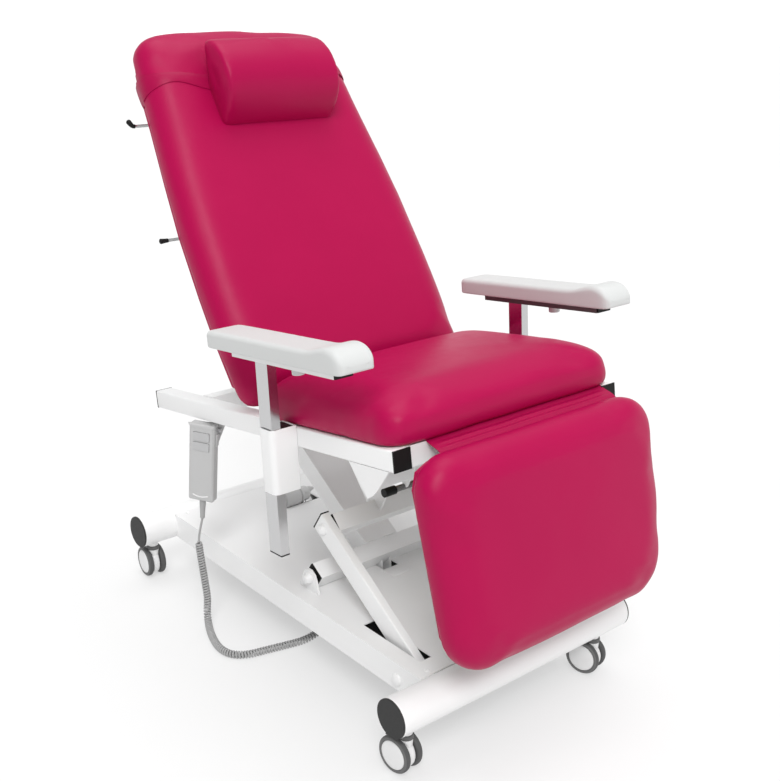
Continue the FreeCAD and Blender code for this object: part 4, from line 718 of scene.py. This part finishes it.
# ------------------------------------------------------------------ handset
soften("handset_body", "handset", 0.7)
soften("back_rocker_key", "key", 0.5)
soften("lift_rocker_key", "key", 0.5)
UH = (H(1, 0, 0) - H(0, 0, 0)).normalized()
ZH = (H(0, 0, 1) - H(0, 0, 0)).normalized()
bits = []
arc = [H(u, 13.0, -169.0 - 4.5 * (1 - (u / 19.0) ** 2)) for u in np.linspace(-19, 19, 19)]
bits.append(tube("lip", arc, [0.6] + [1.9] * 17 + [0.6], "key_light", 10))
for u0, u1, z0, z1 in ((-26.5, 26.5, -8.0, -8.0), (-26.5, 26.5, -165.0, -165.0), (-26.5, -26.5, -8.0, -165.0), (26.5, 26.5, -8.0, -165.0)):
    bits.append(tube("rim", [H(u0, 12.95, z0), H((u0 + u1) / 2, 12.95, (z0 + z1) / 2), H(u1, 12.95, z1)], 0.55, "handset", 8))
bits.append(bar("side_clip", H(30.8, -3.0, -22.0), H(30.8, -3.0, -50.0), UH, 3.2, 11.0, 1.2, "handset", 1.0))
ride(join("handset_trim", bits), "seat", "handset_grey")
stub = [lathe("peg", [(4.2, 0.0), (4.2, 5.0), (5.2, 5.6), (5.2, 8.6), (4.4, 9.4), (0, 9.4)], H(29.0, -6.0, -14.0), UH, "steel", 24)]
ride(join("hook_peg", stub), "seat", "steel")

# ------------------------------------------------------------------ casters
CASTERS = [("front_right", -297.5, 0.0, 6.0), ("front_left", 227.0, 0.0, 14.0), ("rear_right", -292.5, 986.0, -4.0), ("rear_left", 221.5, 986.0, -12.0)]
sockets = []
for c, cx, cy, turn in CASTERS:
    ct, st = math.cos(math.radians(turn)), math.sin(math.radians(turn))

    def X(lx, ly, lz):
        return P(cx + lx * ct - ly * st, cy + lx * st + ly * ct, lz)

    ax = Vector((ct, st, 0.0))
    wheel = []
    for s in SIDES:
        org = X(0, 14.0, 38.0)
        wheel.append(lathe("tread", [(24.0, 9.9), (32.0, 9.8), (34.6, 10.0), (36.4, 10.9), (37.5, 12.3), (38.0, 14.2), (38.0, 17.8), (37.7, 19.4), (37.0, 20.7), (36.2, 21.4), (35.4, 20.6), (24.0, 20.0)], org, ax * s, "tyre_dark", 64, 50))
        wheel.append(lathe("wall", [(24.0, 19.0), (36.0, 20.9), (36.1, 21.6), (35.2, 22.6), (33.8, 23.2), (32.0, 23.3), (30.6, 22.9), (29.8, 22.1), (29.6, 20.0), (24.0, 19.5)], org, ax * s, "tyre", 64, 50))
        wheel.append(lathe("disc", [(0, 10.5), (27.0, 10.5), (29.2, 12.0), (29.4, 21.4), (29.0, 22.4), (28.0, 23.0), (24.0, 23.5), (16.0, 24.0), (8.0, 24.3), (0, 24.4)], org, ax * s, "hub", 64, 40))
    wheel.append(lathe("axle", [(4.0, -10.6), (4.0, 10.6)], X(0, 14.0, 38.0), ax, "steel", 24))
    ride(join("caster_wheel_pair_" + c, wheel), "wheels_" + c, "tyre_grey", "caster_wheels_" + c)
    house = [lathe("hood", [(0, -8.4), (28.5, -8.4), (31.4, -7.4), (32.8, -5.4), (33.2, -2.5), (33.2, 2.5), (32.8, 5.4), (31.4, 7.4), (28.5, 8.4), (0, 8.4)], X(0, 14.0, 38.0), ax, "caster", 64, 60)]
    rings = []
    for z, yc, w, l, r in ((44.0, 9.0, 16.4, 40.0, 6.0), (54.0, 8.0, 16.8, 40.0, 7.0), (62.0, 5.0, 18.6, 36.0, 8.6), (67.5, 2.4, 22.0, 31.0, 10.4), (71.0, 0.8, 25.0, 28.0, 12.2), (73.6, 0.0, 26.6, 27.0, 13.2), (75.2, 0.0, 26.0, 26.0, 12.9)):
        rings.append([X(px, yc + py, z) for px, py in round_rect(w, l, r, 7)])
    house.append(loft("neck", rings, "caster", True, 60))
    house.append(lathe("collar", [(0, 0), (13.4, 0), (14.6, 0.5), (15.2, 1.8), (15.2, 7.0), (14.6, 8.6), (13.4, 9.3), (0, 9.3)], X(0, 0, 74.7), (0, 0, 1), "collar", 48))
    ride(join("caster_shell_" + c, house), "caster_" + c, "caster_white", "caster_housing_" + c)
    sockets.append(lathe("socket", [(0, 0), (11.6, 0), (12.4, 0.8), (12.4, 9.0), (13.4, 11.0), (15.2, 13.0), (15.2, 15.0), (0, 15.0)], X(0, 0, 84.3), (0, 0, 1), "paint", 48, 40))
    if c.endswith("right"):
        soften("caster_brake_" + c, "collar", 0.7)
ride(join("caster_sockets", sockets), "base", "white_paint")


# ------------------------------------------------------------------ upholstery
def resample(pts, n):
    q = np.array(pts + [pts[0]], float)
    d = np.concatenate([[0.0], np.cumsum(np.linalg.norm(np.diff(q, axis=0), axis=1))])
    at = np.linspace(0, d[-1], n, endpoint=False)
    return np.stack([np.interp(at, d, q[:, 0]), np.interp(at, d, q[:, 1])], 1)


def rounded_poly(corners, n=10):
    """corners: (x, y, radius) anticlockwise; returns the outline with its corners rounded."""
    out = []
    m = len(corners)
    for i in range(m):
        p0, p1, p2 = (Vector(corners[(i + k) % m][:2]) for k in (-1, 0, 1))
        r = corners[i][2]
        u, v = (p0 - p1).normalized(), (p2 - p1).normalized()
        ang = u.angle(v)
        t = r / math.tan(ang / 2)
        c = p1 + (u + v).normalized() * (r / math.sin(ang / 2))
        a = p1 + u * t
        a0 = math.atan2(a.y - c.y, a.x - c.x)
        sweep = math.pi - ang
        for k in range(n + 1):
            q = a0 + sweep * k / n
            out.append((c.x + r * math.cos(q), c.y + r * math.sin(q)))
    return out


def eased(pts, n, width):
    """Even points along a closed outline, its corners softened over width points each way."""
    q = resample(pts, n)
    return sum(np.roll(q, k, 0) for k in range(-width, width + 1)) / (2 * width + 1)


def cushion(name, outline, thick, r_front, r_back, crown, to_world, n=220, bulge=0.0, mat="uphol", ease=2, reach=None):
    """Closed padded slab: front at w = 0 (plus crown), back at w = -thick; the front edge rounds over
    r_front in depth and reach inwards."""
    o2 = eased(outline, n, ease)
    reach = reach or r_front
    lo, hi = o2.min(0), o2.max(0)
    centre, half = (lo + hi) / 2, (hi - lo) / 2
    rings = []

    def ring(inset, w, shrink=1.0):
        k = (half - inset) / half * shrink
        rings.append([to_world(x, y, w) for x, y in centre + (o2 - centre) * k])

    for f in (0.05, 0.3, 0.6, 0.85, 0.97):
        ring(r_back, -thick, f)
    for k in range(0, 7):
        t = math.radians(90 * k / 6)
        ring(r_back * (1 - math.sin(t)), -thick + r_back * (1 - math.cos(t)))
    h0, h1 = -thick + r_back, -r_front
    for k in range(1, 5):
        q = k / 5
        ring(-bulge * math.sin(math.pi * q), h0 + (h1 - h0) * q)
    for k in range(0, 14):
        t = math.radians(90 * k / 13)
        ring(reach * (1 - math.cos(t)), -r_front + r_front * math.sin(t))
    for f in (0.96, 0.9, 0.8, 0.66, 0.5, 0.32, 0.15, 0.04):
        ring(reach, crown * (1 - f * f) ** 1.3, f)
    return loft(name, rings, mat, True)


def mesh_from(o):
    dg = bpy.context.evaluated_depsgraph_get()
    bpy.context.view_layer.update()
    return bpy.data.meshes.new_from_object(o.evaluated_get(dg), preserve_all_data_layers=True, depsgraph=dg)


def puff(o, voxel, pressure, cap, pinned, stiff=12.0, bend=2.0, smooth=6, frame=None, keep=0.1):
    """Blows the pad up a little as cloth, with the pinned points held; applied to its mesh. With a frame,
    the sewn outline holds: only a part of the movement across the pad's depth is kept."""
    name, mats = o.name, list(o.data.materials)
    m = o.modifiers.new("r", "REMESH")
    m.mode = "VOXEL"
    m.voxel_size = voxel
    m.use_smooth_shade = True
    me = mesh_from(o)
    o.modifiers.clear()
    old = o.data
    o.data = me
    bpy.data.meshes.remove(old)
    rest = np.array([v.co for v in me.vertices], float)
    g = o.vertex_groups.new(name="hold")
    idx = [i for i, p in enumerate(rest) if pinned(Vector(p))]
    g.add(idx, 1.0, "REPLACE")
    c = o.modifiers.new("c", "CLOTH")
    s = c.settings
    s.quality = 6
    s.mass = 0.35
    s.tension_stiffness = stiff
    s.compression_stiffness = stiff
    s.shear_stiffness = stiff * 0.5
    s.bending_stiffness = bend
    s.air_damping = 4.0
    s.vertex_group_mass = "hold"
    s.use_pressure = True
    s.uniform_pressure_force = pressure
    s.effector_weights.gravity = 0.0
    c.collision_settings.use_collision = False
    c.collision_settings.use_self_collision = False
    c.point_cache.frame_start = 1
    c.point_cache.frame_end = 20
    sc = bpy.context.scene
    for f in range(1, 21):
        sc.frame_set(f)
    me2 = mesh_from(o)
    new = np.array([v.co for v in me2.vertices], float)
    o.modifiers.clear()
    o.vertex_groups.clear()
    sc.frame_set(1)
    d = new - rest
    if frame is not None:
        w = np.array((Vector(frame(0, 0, 10)) - Vector(frame(0, 0, 0))).normalized())
        dn = np.outer(d @ w, w)
        d = dn + (d - dn) * keep
    ln = np.linalg.norm(d, axis=1)
    k = np.minimum(1.0, cap / np.maximum(ln, 1e-9))
    d = d * k[:, None]
    if frame is not None:
        ed = np.array([e.vertices[:] for e in me2.edges], int)
        deg = np.bincount(ed.ravel(), minlength=len(d)).astype(float)[:, None]
        for _ in range(14):
            acc = np.zeros_like(d)
            np.add.at(acc, ed[:, 0], d[ed[:, 1]])
            np.add.at(acc, ed[:, 1], d[ed[:, 0]])
            d = 0.5 * d + 0.5 * acc / np.maximum(deg, 1.0)
    new = rest + d
    me2.vertices.foreach_set("co", new.astype(np.float32).ravel())
    o.data = me2
    bpy.data.meshes.remove(me)
    bm = bmesh.new()
    bm.from_mesh(me2)
    for _ in range(smooth):
        bmesh.ops.smooth_vert(bm, verts=bm.verts, factor=0.5, use_axis_x=True, use_axis_y=True, use_axis_z=True)
    bm.to_mesh(me2)
    bm.free()
    me2.shade_smooth()
    o.name = name
    me2.materials.clear()
    for q in mats:
        me2.materials.append(q)
    sub = o.modifiers.new("fine", "SUBSURF")
    sub.levels = 1
    sub.render_levels = 1
    me3 = mesh_from(o)
    o.modifiers.clear()
    o.data = me3
    bpy.data.meshes.remove(me2)
    me3.shade_smooth()
    print(name, "cloth: most moved", round(float(ln.max()) * 1000, 1), "mm, mean", round(float(ln.mean()) * 1000, 2), "mm, points", len(new))
    return o


def local(fn):
    """Depth w in front of a pad's face, from a point in the row frame."""
    o, w = fn(0, 0, 0), fn(0, 0, 1)
    nw = (w - o).normalized()
    return lambda p: (p - o).dot(nw) * 1000.0


def coords(fn):
    """The three coordinates of a point in a pad's own frame, in mm."""
    o = fn(0, 0, 0)
    e = [(fn(*[1 if i == k else 0 for i in range(3)]) - o).normalized() for k in range(3)]
    return lambda p: tuple((p - o).dot(q) * 1000.0 for q in e)


def ripple(o, amount):
    """Small unevenness of stuffed leather: amount(point) is the push along the normal, in mm."""
    me = o.data
    push = [amount(v.co) for v in me.vertices]
    nor = [v.normal.copy() for v in me.vertices]
    for v, q, n in zip(me.vertices, push, nor):
        v.co = v.co + n * (q * 0.001)
    me.update()
    return o


def hills(p, size, seed=0.0):
    return noise.noise(Vector((p[0] / size + seed, p[1] / size - seed, p[2] / size + 0.5 * seed)))


BACK_SIDE = [(300.0, 301.0), (400.0, 300.0), (542.0, 295.0), (665.0, 284.0), (790.0, 271.0), (880.0, 263.6), (925.0, 258.6)]
BACK_TOP = [(257.2, 944.0), (254.0, 960.0), (246.0, 975.0), (232.0, 987.0), (211.0, 995.6), (180.0, 1001.0), (130.0, 1004.4), (65.0, 1006.0), (0.0, 1006.5)]
right = [(297.0 - 30.0, 138.0)] + [(267.0 + 30.0 * math.sin(math.radians(t)), 168.0 - 30.0 * math.cos(math.radians(t))) for t in (15, 30, 45, 60, 75, 90)]
right += [(w, s) for s, w in BACK_SIDE] + BACK_TOP
back_out = [(x, s - 4.5 * min(1.0, max(0.0, (s - 960.0) / 35.0)) * min(1.0, x / 60.0)) for x, s in right] + [(-x, s) for x, s in reversed(right[:-1])]
back = cushion("back_cushion_pad", back_out, 68.5, 42.0, 10.0, 4.0, B, n=300, reach=44.0)
dep = local(B)
puff(back, 0.0068, 4.0, 0.012, lambda p: dep(p) < -60, smooth=2, frame=B)
bc = coords(B)
ripple(back, lambda p: 0.9 * hills(bc(p), 150.0, 3.1) + 0.35 * hills(bc(p), 55.0, 7.7))
ride(back, "backrest", "upholstery", "back_cushion")

leg_out = rounded_poly([(-279, 1, 84), (278, 2, 88), (297, 190, 300), (302.5, 406, 68), (-301.5, 406, 68), (-291, 190, 300)])
leg = cushion("legrest_pad", leg_out, 61.0, 35.0, 10.0, 6.0, L, n=280)
dep_l = local(L)
puff(leg, 0.0068, 4.0, 0.012, lambda p: dep_l(p) < -54, smooth=2, frame=L)
lc = coords(L)
ripple(leg, lambda p: 0.9 * hills(lc(p), 140.0, 1.3) + 0.3 * hills(lc(p), 50.0, 4.4))
ride(leg, "legrest", "upholstery", "legrest_cushion")


def SC(x, y, w):
    return S(x, y, 87.0 + w)


seat_out = rounded_poly([(-295, -8, 50), (295, -8, 50), (295, 413, 44), (-295, 413, 44)])
seat = cushion("seat_pad", seat_out, 86.0, 48.0, 12.0, 7.0, SC, n=280, bulge=2.0, reach=66.0)
dep_s = local(SC)
puff(seat, 0.0066, 4.0, 0.012, lambda p: dep_s(p) < -77, smooth=2, frame=SC)
sc_ = coords(SC)


def seat_folds(p):
    x, y, w = sc_(p)
    q = 0.9 * hills((x, y, w), 120.0, 5.2)
    near = max(0.0, 1.0 - math.hypot((x + 250.0) / 150.0, (y - 90.0) / 170.0))
    front = max(0.0, 1.0 - abs(y - 10.0) / 60.0)
    q += near * 2.2 * hills((x * 0.45 + y * 0.9, x * 0.25 - y * 0.1, w * 0.5), 30.0, 2.0)
    q += front * 1.2 * hills((x * 0.35, y, w), 34.0, 8.0)
    return q


ripple(seat, seat_folds)
ride(seat, "seat", "upholstery", "seat_cushion")

# pillow: sewn roll, pinched along its top and bottom seams, with end panels
PX0, PX1 = -142.0, 156.0
prof = [(743.0, 8.0), (755.0, 5.4), (770.0, 4.0), (800.0, 3.8), (832.0, 5.2), (850.0, 12.0), (864.0, 20.0), (890.0, 31.0), (911.0, 40.0), (924.0, 46.0), (930.5, 50.0), (929.0, 59.0), (923.0, 70.0), (912.0, 81.0), (899.0, 90.0), (885.0, 96.5), (868.0, 102.0), (845.0, 104.0),
        (820.0, 102.0), (800.0, 96.0), (784.0, 86.0), (771.0, 72.0), (760.0, 54.0), (752.0, 36.0), (746.0, 20.0)]
loop = eased(prof, 96, 1)
ctr = np.array([838.0, 52.0])
rings = []
ends = ((7.0, 0.06), (5.0, 0.35), (3.4, 0.62), (2.2, 0.80), (2.2, 0.885), (3.6, 0.935), (6.4, 0.968), (10.5, 0.988), (17.0, 0.998), (40.0, 1.0), (80.0, 1.0))
for x, k in [(PX0 + e, k) for e, k in ends] + [(8.0, 1.0)] + [(PX1 - e, k) for e, k in reversed(ends)]:
    pts = ctr + (loop - ctr) * k
    rings.append([B(x, s_, n_) for s_, n_ in pts])
pillow = loft("pillow_roll", rings, "uphol", True)
puff(pillow, 0.0050, 3.0, 0.006, lambda p: dep(p) < 8, smooth=1)
ripple(pillow, lambda p: 0.8 * hills(bc(p), 70.0, 9.1))
ride(pillow, "backrest", "upholstery", "pillow")
roll = BVHTree.FromPolygons([v.co for v in pillow.data.vertices], [tuple(f.vertices) for f in pillow.data.polygons])
seams = []
for s_, n_ in ((948.0, 44.0), (728.0, 6.0)):
    seam = [roll.find_nearest(B(x, s_, n_))[0] for x in np.linspace(PX0 + 9.0, PX1 - 9.0, 60)]
    # seams in the darker upholstery copy: painted shade along the seam crease
    seams.append(tube("seam", seam, 1.25, "uphol_painted_shade", 10))
ride(join("pillow_seams", seams), "backrest", "upholstery")

# strap: thin band from the pillow over the crown of the backrest and round behind it
bvh = BVHTree.FromPolygons([v.co for v in back.data.vertices], [tuple(f.vertices) for f in back.data.polygons])
XB = Vector((1, 0, 0))


def on_front(x, s_):
    hit, nor, _, _ = bvh.ray_cast(B(x, s_, 80.0), -NB)
    return hit, nor


def on_side(n_, s_):
    hit, nor, _, _ = bvh.ray_cast(B(-360.0, s_, n_), XB)
    return hit, nor


line = []
for x, st_, sb_ in ((0.0, 869.5, 832.5), (-90.0, 869.5, 832.5), (-143.0, 870.5, 834.5), (-160.0, 873.5, 840.5), (-178.0, 877.0, 848.5), (-195.0, 879.5, 854.5), (-210.0, 881.5, 858.5), (-222.0, 884.0, 860.0), (-232.0, 886.5, 860.0), (-241.0, 889.5, 859.2), (-248.0, 892.5, 858.0), (-254.0, 895.5, 857.0)):
    line.append([on_front(x, st_), on_front(x, sb_)])
for n_, st_, sb_ in ((-28.0, 899.0, 855.5), (-36.0, 901.5, 854.0), (-45.0, 903.0, 852.6), (-53.0, 903.5, 851.4)):
    line.append([on_side(n_, st_), on_side(n_, sb_)])
edge = []
for pair in line:
    edge.append([(h + n * 0.0004, h + n * 0.0024) for h, n in pair])
for x, n_, st_, sb_, nx, nn in ((-261.0, -64.0, 902.5, 850.6, -1.0, -0.1), (-258.2, -72.0, 901.0, 850.0, -1.0, -0.1), (-256.6, -80.0, 899.0, 849.4, -0.9, -0.3), (-252.0, -83.4, 896.0, 848.8, -0.5, -0.85), (-222.0, -94.0, 884.0, 845.0, -0.3, -0.95), (-180.0, -109.2, 873.0, 838.0, -0.1, -1.0), (-120.0, -109.2, 870.0, 835.0, 0.0, -1.0), (0.0, -109.2, 869.0, 834.0, 0.0, -1.0)):
    off = (XB * nx + NB * nn).normalized()
    edge.append([(B(x, q, n_), B(x, q, n_) + off * 0.0017) for q in (st_, sb_)])
MIRROR = Matrix.Diagonal((-1, 1, 1, 1))
band = []
for (ta, tb), (ba, bb) in edge:
    out = (tb - ta).normalized()
    ring = [ta, ta.lerp(tb, 0.7)] + [tb.lerp(bb, k / 6) + out * (0.0009 * math.sin(math.pi * k / 6)) for k in range(1, 6)] + [ba.lerp(bb, 0.7), ba] + [ba.lerp(ta, k / 6) for k in range(1, 6)]
    band.append(ring)
far = [[MIRROR @ v for v in ring] for ring in band]
loop_rings = band + list(reversed(far))[1:-1]
nr = len(loop_rings[0])
verts = [v for r_ in loop_rings for v in r_]
faces = []
for i in range(len(loop_rings)):
    j = (i + 1) % len(loop_rings)
    for k in range(nr):
        m = (k + 1) % nr
        faces.append((i * nr + k, i * nr + m, j * nr + m, j * nr + k))
# band in the darker upholstery copy: painted shade along the strap
strap = mesh_obj("pillow_band", verts, faces, "uphol_painted_shade", True, 60)
ride(strap, "backrest", "strap_magenta", "pillow_strap")

# fabric strip between seat and legrest, with two loose folds
path = [(52.0, 634.6), (47.5, 632.8), (43.0, 629.4), (39.0, 627.6), (35.5, 628.2), (32.0, 629.6), (29.2, 628.8), (26.4, 626.2), (23.4, 625.0), (20.4, 626.2), (17.6, 627.2), (15.0, 625.6), (12.4, 623.6), (9.6, 622.4), (7.0, 620.4), (5.2, 617.0)]
cu = np.array(path, float)
d_ = np.concatenate([[0.0], np.cumsum(np.linalg.norm(np.diff(cu, axis=0), axis=1))])
at_ = np.linspace(0, d_[-1], 48)
cu = np.stack([np.interp(at_, d_, cu[:, i]) for i in range(2)], 1)
for _ in range(2):
    cu[1:-1] = 0.25 * cu[:-2] + 0.5 * cu[1:-1] + 0.25 * cu[2:]
even = cu.copy()
for _ in range(160):
    even[1:-1] = 0.25 * even[:-2] + 0.5 * even[1:-1] + 0.25 * even[2:]
tn = np.gradient(cu, axis=0)
tn /= np.linalg.norm(tn, axis=1)[:, None]
nm = np.stack([tn[:, 1], -tn[:, 0]], 1)
if nm[len(nm) // 2, 1] < 0:
    nm = -nm
rings = []
for x in np.linspace(-214.0, 258.0, 70):
    wob = (0.9 * math.sin(x / 37.0) + 0.6 * math.sin(x / 17.0 + 1.0)) * min(1.0, (x + 214.0) / 40.0, (258.0 - x) / 40.0)
    fold = np.exp(-((np.arange(48) - 22.0) / 12.0) ** 2) * wob * 0.6
    calm = min(1.0, max(0.0, (x + 214.0) / 50.0), max(0.0, (258.0 - x) / 50.0))
    here = even + (cu - even) * (calm * calm * (3 - 2 * calm))
    top = [P(x, y, z + f) for (y, z), f in zip(here + nm * 0.6, fold)]
    low = [P(x, y, z + f) for (y, z), f in zip(here - nm * 0.6, fold)]
    rings.append(top + low[::-1])
# strip in the darker upholstery copy: painted shade in the gap between seat and legrest
strip = loft("seat_legrest_strip", rings, "uphol_painted_shade", True, 60)
print("strip", 0.472, round(float(d_[-1]) * 0.001, 4))
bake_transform(strip)
